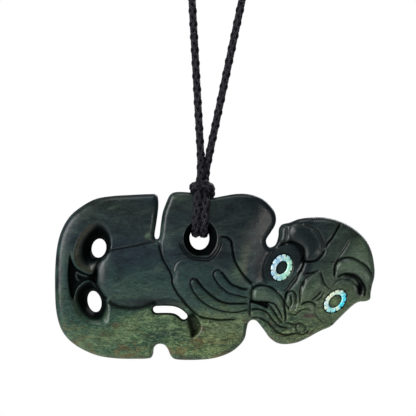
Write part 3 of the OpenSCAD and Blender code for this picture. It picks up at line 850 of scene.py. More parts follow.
def add_back(bm, back, layers):
    """A wall that goes back in rows and rounds the rim of a flat back."""
    edges = [e for e in bm.edges if e.is_boundary]
    for share in (0.5, 1.0):
        owners, edges = edge_row(bm, edges)
        for v, old in owners.items():
            v.co.y = old.co.y + (BACK_Y - back - old.co.y) * share
    inward = {}
    for v in owners:
        out = Vector((0, 0, 0))
        for f in v.link_faces:
            f.normal_update()
            out += f.normal
        out.y = 0
        inward[v] = (v.co.copy(), -out.normalized())
    for turn in (30, 60, 90):
        a = math.radians(turn)
        owners, edges = edge_row(bm, edges)
        inward = {v: inward[old] for v, old in owners.items()}
        for v, (start, n) in inward.items():
            v.co = start + Vector((0, back * math.sin(a), 0)) + n * back * (1 - math.cos(a))
            for layer in layers:
                v[layer] = 0
    bmesh.ops.triangle_fill(bm, use_beauty=True, use_dissolve=False, edges=edges, normal=(0, 1, 0))


def build_stone(settings):
    """The carved stone: a fine sheet cut to the outline, raised, walled and backed."""
    cell = settings.cell / MM
    rim = settings.rim / MM
    borders = stone_borders()
    bm = stone_sheet(borders, cell)
    plan, depth = stone_plan(bm, borders, cell, rim)
    relief = Relief(plan, settings.groove / MM, settings.hollow / MM)
    y = FACE_Y - relief.height + rim * (1 - dome(depth / rim)) * 0.98
    y = np.clip(y, FACE_Y - RELIEF, BACK_Y - FLOOR_T)
    # The rim gets a faint light line of painted highlight
    marks = [relief.cut, np.maximum(relief.crest, 0.06 * bell(depth / 0.9)),
             relief.painted_hollow_light, relief.tone]
    layers = [bm.verts.layers.float.new(name) for name in MARKS]
    for v, (x, z), deep, *values in zip(bm.verts, plan, y, *marks):
        v.co = (x, deep, z)
        for layer, value in zip(layers, values):
            v[layer] = value
    add_back(bm, settings.back_rim / MM, layers)
    bmesh.ops.recalc_face_normals(bm, faces=bm.faces)
    return bm


# Materials


class Number:
    """A number that varies over a surface, with Python's own arithmetic."""

    def __init__(self, paint, socket):
        self.paint = paint
        self.socket = socket

    def __add__(self, other):
        return self.paint.maths("ADD", self, other)

    def __sub__(self, other):
        return self.paint.maths("SUBTRACT", self, other)

    def __rsub__(self, other):
        return self.paint.maths("SUBTRACT", other, self)

    def __mul__(self, other):
        return self.paint.maths("MULTIPLY", self, other)

    __radd__ = __add__
    __rmul__ = __mul__


class Paint:
    """A material and the nodes that it is made with."""

    def __init__(self, name):
        self.material = bpy.data.materials.new(name)
        self.material.use_nodes = True
        self.tree = self.material.node_tree
        self.shader = self.tree.nodes["Principled BSDF"]

    def node(self, kind, settings=None, values=None):
        made = self.tree.nodes.new(kind)
        for key, value in (settings or {}).items():
            setattr(made, key, value)
        for key, value in (values or {}).items():
            self.give(made.inputs[key], value)
        return made

    def give(self, socket, value):
        if isinstance(value, Number):
            value = value.socket
        if isinstance(value, bpy.types.NodeSocket):
            self.tree.links.new(value, socket)
        elif hasattr(value, "__len__") and socket.type == "RGBA":
            socket.default_value = (*value[:3], 1)
        else:
            socket.default_value = value

    def maths(self, operation, a, b):
        made = self.node("ShaderNodeMath", {"operation": operation}, {0: a, 1: b})
        return Number(self, made.outputs[0])

    def limit(self, value, low, high):
        """0 below low, 1 above high, smooth between. Low may be the larger one."""
        made = self.node(
            "ShaderNodeMapRange", {"interpolation_type": "SMOOTHSTEP"},
            {"Value": value, "From Min": low, "From Max": high},
        )
        return Number(self, made.outputs["Result"])

    def band(self, value, middle, half):
        """1 where the value is in the middle of a band, 0 outside it."""
        return self.limit(self.maths("ABSOLUTE", value - middle, 0), half, 0)

    def mix(self, factor, a, b, blend="MIX"):
        made = self.node(
            "ShaderNodeMix", {"data_type": "RGBA", "blend_type": blend, "clamp_factor": True},
            {"Factor": factor, 6: a, 7: b},
        )
        return made.outputs[2]

    def layers(self, base, *rows):
        """Lays colours over one another. Each row is how much a colour covers, and it."""
        for cover, shade in rows:
            base = self.mix(cover, base, shade)
        return base

    def places(self, scale=(1, 1, 1), turn=0, move=(0, 0, 0)):
        """The object's own coordinates, stretched, turned about Y in degrees and moved."""
        where = self.node("ShaderNodeTexCoord").outputs["Object"]
        return self.stretch(where, scale, (0, math.radians(turn), 0), move)

    def stretch(self, where, scale, turn, move=(0, 0, 0)):
        return self.node(
            "ShaderNodeMapping", {"vector_type": "POINT"},
            {"Vector": where, "Scale": scale, "Rotation": turn, "Location": move},
        ).outputs[0]

    def noise(self, where, scale, detail, rough=0.5, warp=0.0):
        made = self.node(
            "ShaderNodeTexNoise", None,
            {"Vector": where, "Scale": scale, "Detail": detail, "Roughness": rough,
             "Distortion": warp},
        )
        return Number(self, made.outputs[0])

    def attribute(self, name):
        return self.node("ShaderNodeAttribute", {"attribute_name": name})

    def mark(self, name):
        """A number that each vertex keeps."""
        return Number(self, self.attribute(name).outputs["Fac"])

    def axis(self, where, letter):
        made = self.node("ShaderNodeSeparateXYZ", None, {0: where})
        return Number(self, made.outputs[letter])

    def bump(self, height, strength, distance, below=None):
        values = {"Height": height, "Strength": strength, "Distance": distance}
        if below is not None:
            values["Normal"] = below
        return self.node("ShaderNodeBump", None, values).outputs[0]

    def cover_with_shade(self, share, shade):
        """Covers a share of the surface with a matt layer of painted shade."""
        painted_shade = self.node("ShaderNodeBsdfDiffuse", None, {"Color": shade})
        both = self.node("ShaderNodeMixShader", None, {
            0: share, 1: self.shader.outputs[0], 2: painted_shade.outputs[0],
        })
        end = self.tree.nodes["Material Output"]
        self.tree.links.new(both.outputs[0], end.inputs["Surface"])
        return self.material

    def finish(self, **values):
        for key, value in values.items():
            self.give(self.shader.inputs[key.replace("_", " ")], value)
        return self.material


class Greenstone(Paint):
    """Dark greenstone with a lighter mottled edge, polished to a satin finish."""

    def __init__(self, settings):
        super().__init__("greenstone")
        self.deep, self.slate_and_sheen, self.leaf, self.ochre = (
            tuple(c) for c in (settings.deep, settings.slate_and_sheen, settings.leaf, settings.ochre)
        )
        self.plain = self.places()
        self.streaks = self.places(scale=(0.4, 1, 1), turn=10)
        self.cloud = self.noise(self.plain, 34, 3)
        self.mottle = self.noise(self.streaks, 190, 8, 0.66, 0.9)
        self.grain = self.noise(self.places(scale=(0.36, 1, 1), turn=-14), 1300, 5, 0.75, 1.5)
        # Millimetres along the frame's X, and up from the stone's lowest edge
        self.x = self.axis(self.plain, "X") * 1000
        self.up = self.axis(self.plain, "Z") * 1000 - STONE_Z
        self.drift = (self.cloud - 0.5) * 40
        self.cut, self.crest, self.painted_hollow_light, self.tone = (self.mark(name) for name in MARKS)
        self.left = self.limit(self.x + self.drift, -32, -60)
        # The height that decides how green the stone is, with a ragged border
        self.ragged = (
            self.up + self.drift * 0.4 + (self.mottle - 0.5) * 26
            - self.limit(self.x, -20, -62) * 3 - self.limit(self.x, 0, 25) * 3
            + self.limit(self.tone, 0, -0.6) * 6
        )

    def body(self):
        """Blue-grey above, partly a painted bluish reflection, teal in the middle of the body,
        olive in the head, with painted shade and light.
        """
        limit, x, up, drift = self.limit, self.x, self.up, self.drift
        mottle, tone = self.mottle, self.tone
        # Painted shade over the shoulder
        painted_shoulder_shade = limit(x + drift, -28, -12) * limit(up + drift, 26, 46)
        jaw = limit(x + drift, 4, 22) * limit(up + drift * 0.5, 34, 16)
        # A painted brownish glow low on the shoulder
        painted_shoulder_glow = limit(x, -8, -4) * limit(x, 5, 0) * limit(up, 26, 31)
        # Painted light on the lit side of a hollow, brownish above and green lower down
        hollow = self.mix(limit(up, 30, 24), (0.032, 0.031, 0.015), (0.030, 0.048, 0.026))
        return self.layers(
            self.mix(limit(up + drift, 26, 42), self.deep, self.slate_and_sheen),
            (limit(up, 36, 54) * limit(self.cloud, 0.42, 0.56) * 0.65, (0.016, 0.025, 0.017)),
            (painted_shoulder_shade * 0.75, (0.006, 0.011, 0.0115)),
            (limit(x + drift, 2, 26) * 0.7, (0.021, 0.033, 0.023)),
            (jaw * 0.7, (0.066, 0.092, 0.046)),
            # Lighter tone, partly painted light; light streaks; dark streaks; darker tone, partly
            # painted shade
            (limit(tone + (mottle - 0.5), 0.0, 0.9) * 0.75, (0.076, 0.118, 0.074)),
            (limit(mottle - tone * 0.2, 0.5, 0.72) * 0.45, (0.045, 0.075, 0.058)),
            (limit(mottle, 0.48, 0.3) * 0.7, (0.004, 0.007, 0.0065)),
            (limit(tone, 0.0, -0.7) * 0.85, (0.004, 0.008, 0.011)),
            (self.painted_hollow_light * 0.85, hollow),
            (limit(tone, 0.1, 0.5) * painted_shoulder_glow * 0.7, (0.098, 0.092, 0.070)),
        )

    def green(self):
        """The light green of the lower edge: fibres, patches, veins, grain and rust."""
        limit, left, grain = self.limit, self.left, self.grain
        along = self.places(scale=(0.26, 1, 1), turn=8)
        fibre = self.noise(along, 1400, 5, 0.72, 2.5)
        patch = self.noise(self.streaks, 85, 7, 0.68, 1.2)
        blotch = self.noise(self.streaks, 60, 3, 0.6, 0.8)
        vein = self.noise(self.streaks, 520, 6, 0.7, 1.6)
        rust = self.noise(self.places(scale=(0.5, 1, 1), move=(3, 1, 2)), 260, 7, 0.72, 0.8)
        moss = self.mix(limit(self.x, -42, -12) * 0.6, self.leaf, (0.175, 0.218, 0.078))
        worn = limit(self.tone + (self.mottle - 0.5), 0.1, 1)
        fine = 1 - left * 0.6
        return self.layers(
            self.mix(limit(fibre, 0.3, 0.66), (0.024, 0.060, 0.036), moss),
            (limit(patch, 0.49, 0.62) * 0.8, (0.016, 0.046, 0.032)),
            (limit(patch, 0.48, 0.32) * 0.7, (0.19, 0.285, 0.118)),
            (left * 0.8, (0.026, 0.070, 0.050)),
            (limit(blotch, 0.51, 0.58) * 0.78, (0.014, 0.038, 0.028)),
            (limit(blotch, 0.49, 0.40) * (1 - left * 0.5) * 0.6, (0.21, 0.29, 0.125)),
            # Lighter where the tone is raised, partly painted light
            (worn * 0.5, (0.18, 0.22, 0.09)),
            (self.band(vein, 0.5, 0.035) * 0.8, (0.008, 0.024, 0.014)),
            (limit(grain, 0.5, 0.64) * fine * 0.4, (0.26, 0.34, 0.17)),
            (limit(grain, 0.48, 0.36) * fine * 0.6, (0.012, 0.032, 0.018)),
            (limit(rust, 0.49, 0.60) * limit(self.ragged, 12, 2) * 0.8, self.ochre),
        )

    def colour(self):
        """The body and the green, with brown stains, a speckle, painted shade in the carving, and
        light lines that are partly wear and partly painted highlight.
        """
        limit, x, up = self.limit, self.x, self.up
        stain = self.noise(self.places(scale=(0.6, 1, 1), move=(1, 5, 3)), 150, 5, 0.6, 0.5)
        stained = limit(stain, 0.58, 0.66) * limit(up, 22, 14)
        jaw_stain = limit(self.tone, -0.15, -0.55) * limit(up, 24, 18) * limit(x, 8, 12)
        shade = self.layers(
            self.body(),
            (limit(self.ragged + self.left * 3, 24, 7), self.green()),
            (stained * 0.6, (0.058, 0.036, 0.018)),
            (jaw_stain * 0.65, (0.058, 0.034, 0.022)),
        )
        speckle = self.mix(limit(self.grain, 0.34, 0.66), (0.25, 0.25, 0.25), (0.8, 0.8, 0.8))
        return self.layers(
            self.mix(0.85, shade, speckle, "OVERLAY"),
            # Painted shade in the cuts and hollows, and light lines of wear and painted highlight
            (self.cut * 0.6, (0.003, 0.005, 0.0045)),
            (self.crest * 0.2, (0.07, 0.09, 0.075)),
        )

    def polished(self):
        """The finished material, with fine scratches, and a dark matt layer of painted shade in
        the cuts and where the stone is darkest.
        """
        scratch = self.noise(self.places(scale=(0.15, 1, 1), turn=35), 1500, 3, 0.6)
        rough = 0.30 + (self.mottle - 0.5) * 0.16 + (scratch - 0.5) * 0.1
        worn = self.bump(self.noise(self.plain, 330, 3), 0.3, 0.0003)
        normal = self.bump(scratch, 0.15, 0.0001, worn)
        self.finish(
            Base_Color=self.colour(), Roughness=rough, Normal=normal, Specular_IOR_Level=0.34
        )
        # A dark matt layer paints shade in the cuts and where the tone is darkest
        painted_shade = self.limit(self.tone, -0.3, -1.0) * 0.3
        return self.cover_with_shade(self.limit(self.cut * 0.9 + painted_shade, 0, 1), (0.002, 0.003, 0.003))


def shell(name, eye, turn, first, second, flecks):
    """Pale iridescent shell: one colour on one side of the ring, another across it."""
    paint = Paint(name)
    limit = paint.limit
    plain = paint.places()
    wave = paint.noise(plain, 260, 3, 0.6, 1.2)
    fleck = paint.noise(plain, 1100, 3, 0.6, 0.5)
    grown = paint.noise(paint.places(scale=(1, 1, 0.2), turn=turn + 30), 1900, 2)
    middle = place(eye[0])
    x = paint.axis(plain, "X") * 1000 - middle[0]
    z = paint.axis(plain, "Z") * 1000 - middle[1]
    t = math.radians(turn)
    side = x * math.cos(t) + z * math.sin(t) + (wave - 0.5) * 14
    shade = paint.layers(
        first,
        (limit(side, -2.2, 2.2), second),
        (limit(fleck, 0.52, 0.62) * 0.7, flecks),
        (limit(wave, 0.56, 0.66) * 0.6, (0.72, 0.76, 0.84)),
        (limit(grown, 0.58, 0.7) * 0.3, (0.10, 0.26, 0.32)),
        # Painted shade in the notches and down the ring's walls
        (paint.mark("cut") * 0.85, (0.012, 0.018, 0.02)),
    )
    return paint.finish(
        Base_Color=shade, Roughness=0.3, Metallic=0.1, Normal=paint.bump(grown, 0.15, 0.00006),
        Coat_Weight=0.4, Coat_Roughness=0.08,
    )


def waxed_cord(settings):
    """Black waxed fibre, whose threads run along each strand, with painted shade on the strands'
    sides and on the core.
    """
    paint = Paint("waxed_cord")
    limit = paint.limit
    along = paint.attribute("fibre").outputs["Vector"]
    thread = paint.noise(paint.stretch(along, (0.35, 3.2, 3.2), (0, 0, 0.25)), 2.4, 4, 0.6, 0.3)
    wax = paint.noise(along, 3.6, 5, 0.75)
    # Painted shade: the sides of a strand, and the core under the strands, are darker than its
    # crown
    strand = limit(paint.axis(along, "X"), -200, -100)
    crown = limit(paint.axis(along, "Y"), -0.1, 0.38) * (strand * 0.65 + 0.35)
    fibre = paint.layers(
        tuple(settings.dye),
        (limit(thread, 0.4, 0.66), (0.020, 0.020, 0.033)),
        # Light wax specks, partly painted glints
        (limit(wax, 0.57, 0.64) * 0.85, (0.21, 0.205, 0.25)),
    )
    # Painted shade on the sides of the strands and on the core
    shade = paint.mix(crown * 0.75 + 0.25, (0.0012, 0.0011, 0.0018), fibre)
    rough = 0.4 + (wax - 0.5) * 0.3
    normal = paint.bump(thread + wax * 0.5, 0.9, 0.0004)
    paint.finish(Base_Color=shade, Roughness=rough, Normal=normal, Specular_IOR_Level=0.2)
    # A dark matt layer adds painted shade away from the crowns
    return paint.cover_with_shade((1 - crown) * 0.6, (0.001, 0.001, 0.0015))


def pale_floor():
    paint = Paint("pale_floor")
    grain = paint.noise(paint.places(), 60, 4)
    shade = paint.mix(paint.limit(grain, 0.35, 0.65), (0.80, 0.80, 0.80), (0.83, 0.83, 0.83))
    return paint.finish(Base_Color=shade, Roughness=0.7)


# Finished pieces


def piece(name, bm, material, smooth=True):
    """A finished mesh in metres, made of one in millimetres."""
    bmesh.ops.scale(bm, vec=(MM, MM, MM), verts=bm.verts)
    mesh = bpy.data.meshes.new(name)
    for f in bm.faces:
        f.smooth = smooth
    bm.to_mesh(mesh)
    bm.free()
    made = bpy.data.objects.new(name, mesh)
    bpy.context.scene.collection.objects.link(made)
    mesh.materials.append(material)
    return made


# The eye rings

RING_STEPS = 144


def ring_rows(crown):
    """Sections of a ring: share of the way in, and how deep under the crown's top."""
    rows = [(0.0, RING_T), (0.0, crown + 0.1), (0.03, crown + 0.03), (0.12, crown * 0.5),
            (0.3, crown * 0.1)]
    return rows + [(0.5, 0.0)] + [(1 - share, deep) for share, deep in rows[::-1]]


def build_ring(eye, crown):
    """An oval ring with a notched rim, drawn section by section from outside in."""
    at, half, turn, pupil, pupil_turn = eye
    a = np.linspace(0, 2 * math.pi, RING_STEPS, endpoint=False)
    split = np.maximum(0, np.cos(a * NOTCHES))
    cut = NOTCH_D * split**3
    outer = from_eye_axes((half[0] - cut) * np.cos(a), (half[1] - cut) * np.sin(a), turn)
    b = a + math.radians(pupil_turn - turn)
    inner = from_eye_axes(pupil[0] * np.cos(b), pupil[1] * np.sin(b), pupil_turn)
    bm = bmesh.new()
    layer = bm.verts.layers.float.new("cut")
    loop = bmesh.ops.create_circle(bm, cap_ends=False, segments=RING_STEPS, radius=1)["verts"]
    first = edges = list(bm.edges)
    for k, (share, deep) in enumerate(ring_rows(crown)):
        if k:
            owners, edges = edge_row(bm, edges)
            above = {old: new for new, old in owners.items()}
            loop = [above[v] for v in loop]
        spots = place(at) + outer + (inner - outer) * share
        # Painted shade in the notches near the outer edge, running down the walls to the ring's
        # underside
        painted_notch_shade = split**6 * (1 - ease((share - 0.15) / 0.4))
        for v, spot, dark in zip(loop, spots, painted_notch_shade):
            v.co = (spot[0], RING_Y + deep, spot[1])
            v[layer] = max(dark, deep == RING_T)
    bmesh.ops.bridge_loops(bm, edges=first + edges)
    bmesh.ops.recalc_face_normals(bm, faces=bm.faces)
    return bm


# The cord. Lengths are in millimetres

CORD_R = 1.25
NECK_LOOP = 640.0
HALF_SPREAD = math.radians(7.6)
LOOP_LEAN = math.radians(4.4)
HITCH_LEAN = math.radians(3.4)
CORD_GAP = 0.2
# The bridge's top over the cord hole, on the left and on the right, in thousandths
BRIDGE_TOP = {-1: 996, 1: 968}
# A plait's strands: how many, how flat they are and how far they rise and sink
STRANDS = 8
PLAIT_SQUASH = 0.8
PLAIT_LIFT = 0.2
# The core's share of a plait's thickness
CORE_SHARE = 0.64
# The hitch is this much thicker than the neck plait, and swells over a run from each end
HITCH_SWELLING = 1.14
SWELLING_RUN = 12
# Fibre marks: how far along its fibre noise each strand, the core and the knot start
STRAND_MARK = 37.0
CORE_MARK = -1000.0
KNOT_MARK = 11.0
# How far apart a plait's rings of vertices are, and how many sides its strands have
NECK_MESH = (0.6, 7)
HITCH_MESH = (0.3, 8)
KNOT_SIDES = 10
KNOT_D = 6.0
KNOT_LEN = 14.0
KNOT_CORD_R = 0.82
KNOT_AT = math.radians(35)
LOOP_R = NECK_LOOP / (2 / math.tan(HALF_SPREAD) + math.pi + 2 * HALF_SPREAD)
LOOP_C = np.array([0, CORD_R - LOOP_R])
LEAN_WAY = np.array([math.sin(LOOP_LEAN), math.cos(LOOP_LEAN)])
FORK = LOOP_C - LOOP_R / math.sin(HALF_SPREAD) * LEAN_WAY
TOUCH = CORD_R + CORD_GAP
FREE_AT = TOUCH / math.sin(HALF_SPREAD)
HOLE_X, HOLE_Z = place(CORD_HOLE[:2])


def way(side):
    """The direction of a side of the loop, up from the fork."""
    turn = LOOP_LEAN + side * HALF_SPREAD
    return np.array([math.sin(turn), math.cos(turn)])


def loop_route():
    """Up the left side, over the top and down the right side."""
    side_len = LOOP_R / math.tan(HALF_SPREAD)
    left = [FORK + t * way(-1) for t in np.linspace(FREE_AT, side_len, 40)[:-1]]
    half = HALF_SPREAD + math.pi / 2
    turns = np.linspace(LOOP_LEAN - half, LOOP_LEAN + half, 40)
    arc = [LOOP_C + LOOP_R * np.array([math.sin(a), math.cos(a)]) for a in turns]
    right = [FORK + t * way(1) for t in np.linspace(side_len, FREE_AT, 40)[1:]]
    return np.array([[p[0], 0, p[1]] for p in left + arc + right])


def hitch_route(side):
    """From the loop's foot, down through the hole, round the bridge and up to the bar."""
    lean = HITCH_LEAN
    bar_h = (FORK[1] - HOLE_Z) / math.cos(lean)
    top = (STONE_Z + BRIDGE_TOP[side] * MM * STONE_H - HOLE_Z) / math.cos(lean)
    wide, high = CORD_HOLE[2] / 2, CORD_HOLE[3] / 2
    hole_side = CORD_R + CORD_GAP / 2
    neck_side = 0.65 * CORD_R
    bar_side = 2.3 * CORD_R
    front_y, back_y = FACE_Y - TOUCH, BACK_Y + TOUCH
    under_y = front_y / 2
    bar_y = under_y - 1.9 * CORD_R
    hole_in = (high - TOUCH) * math.sqrt(1 - (hole_side / (wide - TOUCH)) ** 2)
    edge = high * math.sqrt(1 - (hole_side / wide) ** 2)
    wrap = TOUCH / math.cos(math.radians(15))
    high_bar = top + wrap
    swing = 0.55 * side * CORD_R
    # Columns: how far to its side, Y, and how high over the hole's middle
    spots = [
        (neck_side, 0.3 * under_y + swing, bar_h + 4 * CORD_R),
        (neck_side, under_y + 0.6 * swing, bar_h),
        (hole_side, front_y, top - 1.6 * CORD_R),
        (hole_side, front_y, edge + 2),
        (hole_side, front_y + CORD_R, edge - 0.3 * CORD_R),
        (hole_side, FACE_Y + 2, hole_in),
        (hole_side, BACK_Y - CORD_R, hole_in),
    ]
    for turn in (-75, -45, -15):
        a = math.radians(turn)
        r = edge - hole_in
        spots.append((hole_side, BACK_Y + r * math.cos(a), edge + r * math.sin(a)))
    spots.append((hole_side, back_y, edge + 2 * CORD_R))
    for k, turn in enumerate((0, 30, 60, 90)):
        a = math.radians(turn)
        out = (0.9 + 0.1 * k / 3) * bar_side
        spots.append((out, BACK_Y + wrap * math.cos(a), top + wrap * math.sin(a)))
    spots += [
        (bar_side, 0, high_bar),
        (bar_side, 0.5 * bar_y, high_bar + (bar_h - high_bar) * 0.6),
        (bar_side, 0.8 * bar_y, bar_h - 0.4 * CORD_R),
        (0.7 * bar_side, bar_y, bar_h + 0.1),
        (0, bar_y, bar_h + 0.7),
    ]
    foot = FORK + FREE_AT * way(side)
    route = [np.array([foot[0], 0, foot[1]])]
    for s, y, h in spots:
        s *= side
        route.append(np.array([
            HOLE_X + s * math.cos(lean) + h * math.sin(lean), y,
            HOLE_Z - s * math.sin(lean) + h * math.cos(lean)]))
    return route


def spaced(route, step):
    """A smooth line through a route, with evenly spaced points, and how far along each is."""
    line = smooth_line(route, 10)
    gone = gone_along(line)
    count = max(2, round(gone[-1] / step))
    at = np.linspace(0, gone[-1], count + 1)
    return np.stack([np.interp(at, gone, line[:, k]) for k in range(3)], 1), at


def across_line(line):
    """Two directions across the line at each point, without twist."""
    along = unit(np.gradient(line, axis=0))
    one = np.cross(along[0], (0, 1, 0))
    ones = []
    for t in along:
        one = unit(one - t * (one @ t))
        ones.append(one)
    ones = np.array(ones)
    return ones, np.cross(along, ones)


def upright(path, out):
    """Outward directions made square to a path, and the directions across both."""
    on = unit(np.gradient(path, axis=0))
    out = unit(out - on * (out * on).sum(1)[:, None])
    return out, np.cross(on, out)


def tube(line, one, two, radius, sides, mark, squash=1.0):
    """A round tube along a line, made from a grid whose long edges are joined.

    Each vertex keeps where it is along the fibres and across them for the material.
    """
    bm = bmesh.new()
    layer = bm.verts.layers.float_vector.new("fibre")
    rows = len(line)
    bmesh.ops.create_grid(bm, x_segments=sides, y_segments=rows - 1, size=0.5)
    grid = coords(bm)
    turn = np.round((grid[:, 0] + 0.5) * sides) / sides * 2 * math.pi
    row = np.round((grid[:, 1] + 0.5) * (rows - 1)).astype(int)
    radius = (radius * np.ones(rows))[row]
    c, s = (radius * np.cos(turn))[:, None], (radius * np.sin(turn))[:, None]
    spots = line[row] + one[row] * c * squash + two[row] * s
    fibres = np.stack([gone_along(line)[row] + mark, c[:, 0], s[:, 0]], 1)
    for v, spot, fibre in zip(bm.verts, spots, fibres):
        v.co = spot
        v[layer] = fibre
    bmesh.ops.remove_doubles(bm, verts=bm.verts, dist=1e-5)
    bmesh.ops.holes_fill(bm, edges=[e for e in bm.edges if e.is_boundary], sides=0)
    bmesh.ops.recalc_face_normals(bm, faces=bm.faces)
    return bm


def plait(route, settings, mesh, swelling=1.0):
    """Strands that cross over and under one another round a core along a route."""
    step, sides = mesh
    line, at = spaced(route, step)
    one, two = across_line(line)
    # A swollen plait comes to its thickness over its first and last stretch
    swelling = 1 + (swelling - 1) * ease(np.minimum(at, at[-1] - at) / SWELLING_RUN)
    strand = settings.strand / MM / 2 * swelling
    whole = settings.cord / MM / 2 * swelling
    yield tube(line, one, two, whole * CORE_SHARE, sides, CORE_MARK)
    mid = whole - strand * PLAIT_SQUASH - PLAIT_LIFT
    for k in range(STRANDS):
        hand = 1 if k % 2 == 0 else -1
        turn = hand * 2 * math.pi * at / (settings.plait / MM) + math.pi / 2 * (k // 2)
        reach = mid + PLAIT_LIFT * hand * np.cos(4 * turn)
        out = one * np.cos(turn)[:, None] + two * np.sin(turn)[:, None]
        path = line + out * reach[:, None]
        yield tube(path, *upright(path, out), strand, sides, STRAND_MARK * k, PLAIT_SQUASH)


def joined(parts):
    """One mesh of many."""
    whole = bmesh.new()
    for part in parts:
        mesh = bpy.data.meshes.new("part")
        part.to_mesh(mesh)
        part.free()
        whole.from_mesh(mesh)
        bpy.data.meshes.remove(mesh)
    return whole


def build_knot():
    """The knot that closes the loop: a thinner cord wound round it side by side."""
    rounds = KNOT_LEN / (2 * KNOT_CORD_R)
    reach = KNOT_D / 2 - KNOT_CORD_R
    spots, outs = [], []
    for k in np.linspace(0, 1, round(rounds * 20) + 1):
        a = KNOT_AT + (k - 0.5) * (KNOT_LEN - 2 * KNOT_CORD_R) / LOOP_R
        turn = 2 * math.pi * rounds * k
        out = np.array([math.sin(a), 0, math.cos(a)])
        spot = np.array([LOOP_C[0], 0, LOOP_C[1]]) + LOOP_R * out
        outs.append(out * math.cos(turn) + np.array([0, 1, 0]) * math.sin(turn))
        spots.append(spot + reach * outs[-1])
    spots = np.array(spots)
    outs = upright(spots, np.array(outs))
    return tube(spots, *outs, KNOT_CORD_R, KNOT_SIDES, KNOT_MARK)


# The stage, in metres

# The picture's width is taken at the stone
CAMERA_AWAY = 0.8
PICTURE_W = 0.1428
SENSOR_W = 36
LIGHTS_AIM = Vector((-0.02, 0, -0.32))
# The floor is a round slab, in millimetres
SLAB_R = 420
SLAB_T = 6
SLAB_SIDES = 96
SLAB_TOP = (-16, 0, STONE_Z - 60)


def surround(brightness):
    """A surround that the camera sees white and that lights the object softly."""
    world = bpy.data.worlds.new("surround")
    world.use_nodes = True
    nodes, links = world.node_tree.nodes, world.node_tree.links
    both = nodes.new("ShaderNodeMixShader")
    links.new(nodes.new("ShaderNodeLightPath").outputs["Is Camera Ray"], both.inputs[0])
    rows = (
        (nodes.new("ShaderNodeBackground"), (0.93, 0.97, 1, 1), brightness),
        (nodes["Background"], (1, 1, 1, 1), 1.0),
    )
    for k, (glow, tint, strength) in enumerate(rows):
        glow.inputs["Color"].default_value = tint
        glow.inputs["Strength"].default_value = strength
        links.new(glow.outputs[0], both.inputs[k + 1])
    links.new(both.outputs[0], nodes["World Output"].inputs["Surface"])
    return world


def soft_light(name, spot, size, watts, tint):
    """A round soft light that is aimed at the stone."""
    data = bpy.data.lights.new(name, "AREA")
    data.shape = "DISK"
    data.size = size
    data.energy = watts
    data.color = tint
    lamp = bpy.data.objects.new(name, data)
    lamp.location = spot
    lamp.rotation_euler = (LIGHTS_AIM - lamp.location).to_track_quat("-Z", "Y").to_euler()
    bpy.context.scene.collection.objects.link(lamp)


def build_floor():
    """A round slab under the object, in millimetres."""
    bm = bmesh.new()
    bmesh.ops.create_circle(bm, cap_ends=True, segments=SLAB_SIDES, radius=SLAB_R)
    made = bmesh.ops.extrude_face_region(bm, geom=bm.faces[:])["geom"]
    under = [v for v in made if isinstance(v, bmesh.types.BMVert)]
    bmesh.ops.translate(bm, vec=(0, 0, -SLAB_T), verts=under)
    bmesh.ops.translate(bm, vec=SLAB_TOP, verts=bm.verts)
    bmesh.ops.recalc_face_normals(bm, faces=bm.faces)
    return bm


# Operators, one for each piece or group of pieces


class PENDANT_OT_camera(bpy.types.Operator):
    """Sets the camera where the photograph was taken from"""

    bl_idname = "pendant.camera"
    bl_label = "Camera"

    def execute(self, context):
        data = bpy.data.cameras.new("camera")
        data.sensor_width = SENSOR_W
        data.lens = SENSOR_W * CAMERA_AWAY / PICTURE_W
        made = bpy.data.objects.new("camera", data)
        made.location = (-0.01828, -CAMERA_AWAY - 0.003, -0.3033)
        made.rotation_euler = (math.pi / 2, 0, 0)
        context.scene.collection.objects.link(made)
        context.scene.camera = made
        return {"FINISHED"}


class PENDANT_OT_stage(bpy.types.Operator):
    """Makes the pale floor, the surround and the soft lights"""

    bl_idname = "pendant.stage"
    bl_label = "Stage"

    def execute(self, context):
        settings = context.scene.pendant_stage
        floor = piece("floor", build_floor(), pale_floor(), smooth=False)
        context.scene.world = surround(settings.surround)
        key, fill = settings.key, settings.fill
        soft_light("key", (-0.9, -0.7, 0.0), 0.9, key, (1, 0.99, 0.97))
        soft_light("fill", (0.58, -0.95, -0.68), 0.55, fill, (1, 0.96, 0.9))
        soft_light("back", (0.45, 0.9, 0.3), 0.8, fill, (0.93, 0.97, 1))
        soft_light("top", (-0.05, -0.25, 0.75), 0.6, key * 0.15, (0.93, 0.97, 1))
        context.scene.view_settings.view_transform = "Standard"
        return {"FINISHED"}


class PENDANT_OT_stone(bpy.types.Operator):
    """Carves the stone figure"""

    bl_idname = "pendant.stone"
    bl_label = "Carved stone"

    def execute(self, context):
        settings = context.scene.pendant_stone
        made = piece("carved_stone", build_stone(settings), Greenstone(settings).polished())
        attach(made, "root")
        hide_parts("tiki")
        return {"FINISHED"}


class PENDANT_OT_rings(bpy.types.Operator):
    """Cuts the two shell eye rings"""

    bl_idname = "pendant.rings"
    bl_label = "Eye rings"

    def execute(self, context):
        settings = context.scene.pendant_rings
        ice, mint, cream, lagoon = (
            tuple(c) for c in (settings.ice, settings.mint, settings.cream, settings.lagoon)
        )
        # Columns: name, eye, turn of its two colours, these and the colour of its flecks
        rows = (
            ("upper", UPPER_EYE, -20, ice, mint, cream),
            ("lower", LOWER_EYE, -35, cream, lagoon, mint),
        )
        for name, eye, turn, first, second, flecks in rows:
            pearl = shell(name + "_shell", eye, turn, first, second, flecks)
            made = piece(name + "_shell_ring", build_ring(eye, settings.crown / MM), pearl)
            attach(made, "root")
            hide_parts(name + "_eye_ring")
        return {"FINISHED"}


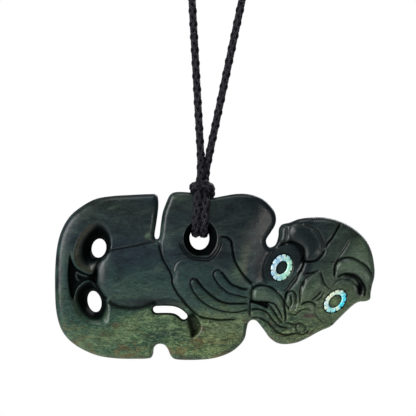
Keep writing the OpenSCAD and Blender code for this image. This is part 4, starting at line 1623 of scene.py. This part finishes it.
class PENDANT_OT_cord(bpy.types.Operator):
    """Plaits the neck cord and the hitch that holds the stone, and winds the knot"""

    bl_idname = "pendant.cord"
    bl_label = "Plaited cord"

    def execute(self, context):
        settings = context.scene.pendant_cord
        wax = waxed_cord(settings)
        whole_hitch = hitch_route(-1) + hitch_route(1)[-2::-1]
        neck = piece("neck_plait", joined(plait(loop_route(), settings, NECK_MESH)), wax)
        hitch = joined(plait(whole_hitch, settings, HITCH_MESH, HITCH_SWELLING))
        hitch = piece("hitch_plait", hitch, wax)
        knot = piece("wound_knot", build_knot(), wax)
        for made, node in ((neck, "neck_cord"), (hitch, "cord_hitch"), (knot, "closing_knot")):
            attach(made, "root")
            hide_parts(node)
        return {"FINISHED"}


class PENDANT_PT_panel(bpy.types.Panel):
    bl_idname = "PENDANT_PT_panel"
    bl_label = "Hei tiki pendant"
    bl_space_type = "VIEW_3D"
    bl_region_type = "UI"
    bl_category = "Pendant"

    def draw(self, context):
        for made in MAKERS:
            self.layout.operator(made.bl_idname)
        for name, group in GROUPS.items():
            box = self.layout.box()
            settings = getattr(context.scene, name)
            for prop in group.__annotations__:
                box.prop(settings, prop)


MAKERS = [PENDANT_OT_camera, PENDANT_OT_cord, PENDANT_OT_stone, PENDANT_OT_rings, PENDANT_OT_stage]
GROUPS = {
    "pendant_stone": StoneSettings,
    "pendant_rings": RingSettings,
    "pendant_cord": CordSettings,
    "pendant_stage": StageSettings,
}


def register():
    for made in [*GROUPS.values(), *MAKERS, PENDANT_PT_panel]:
        bpy.utils.register_class(made)
    for name, group in GROUPS.items():
        setattr(bpy.types.Scene, name, bpy.props.PointerProperty(type=group))


def unregister():
    for name in GROUPS:
        delattr(bpy.types.Scene, name)
    for made in [*GROUPS.values(), *MAKERS, PENDANT_PT_panel][::-1]:
        bpy.utils.unregister_class(made)


def main():
    register()
    bpy.ops.pendant.camera()
    bpy.ops.pendant.cord()
    bpy.ops.pendant.stone()
    bpy.ops.pendant.rings()
    bpy.ops.pendant.stage()


if __name__ == "__main__":
    main()
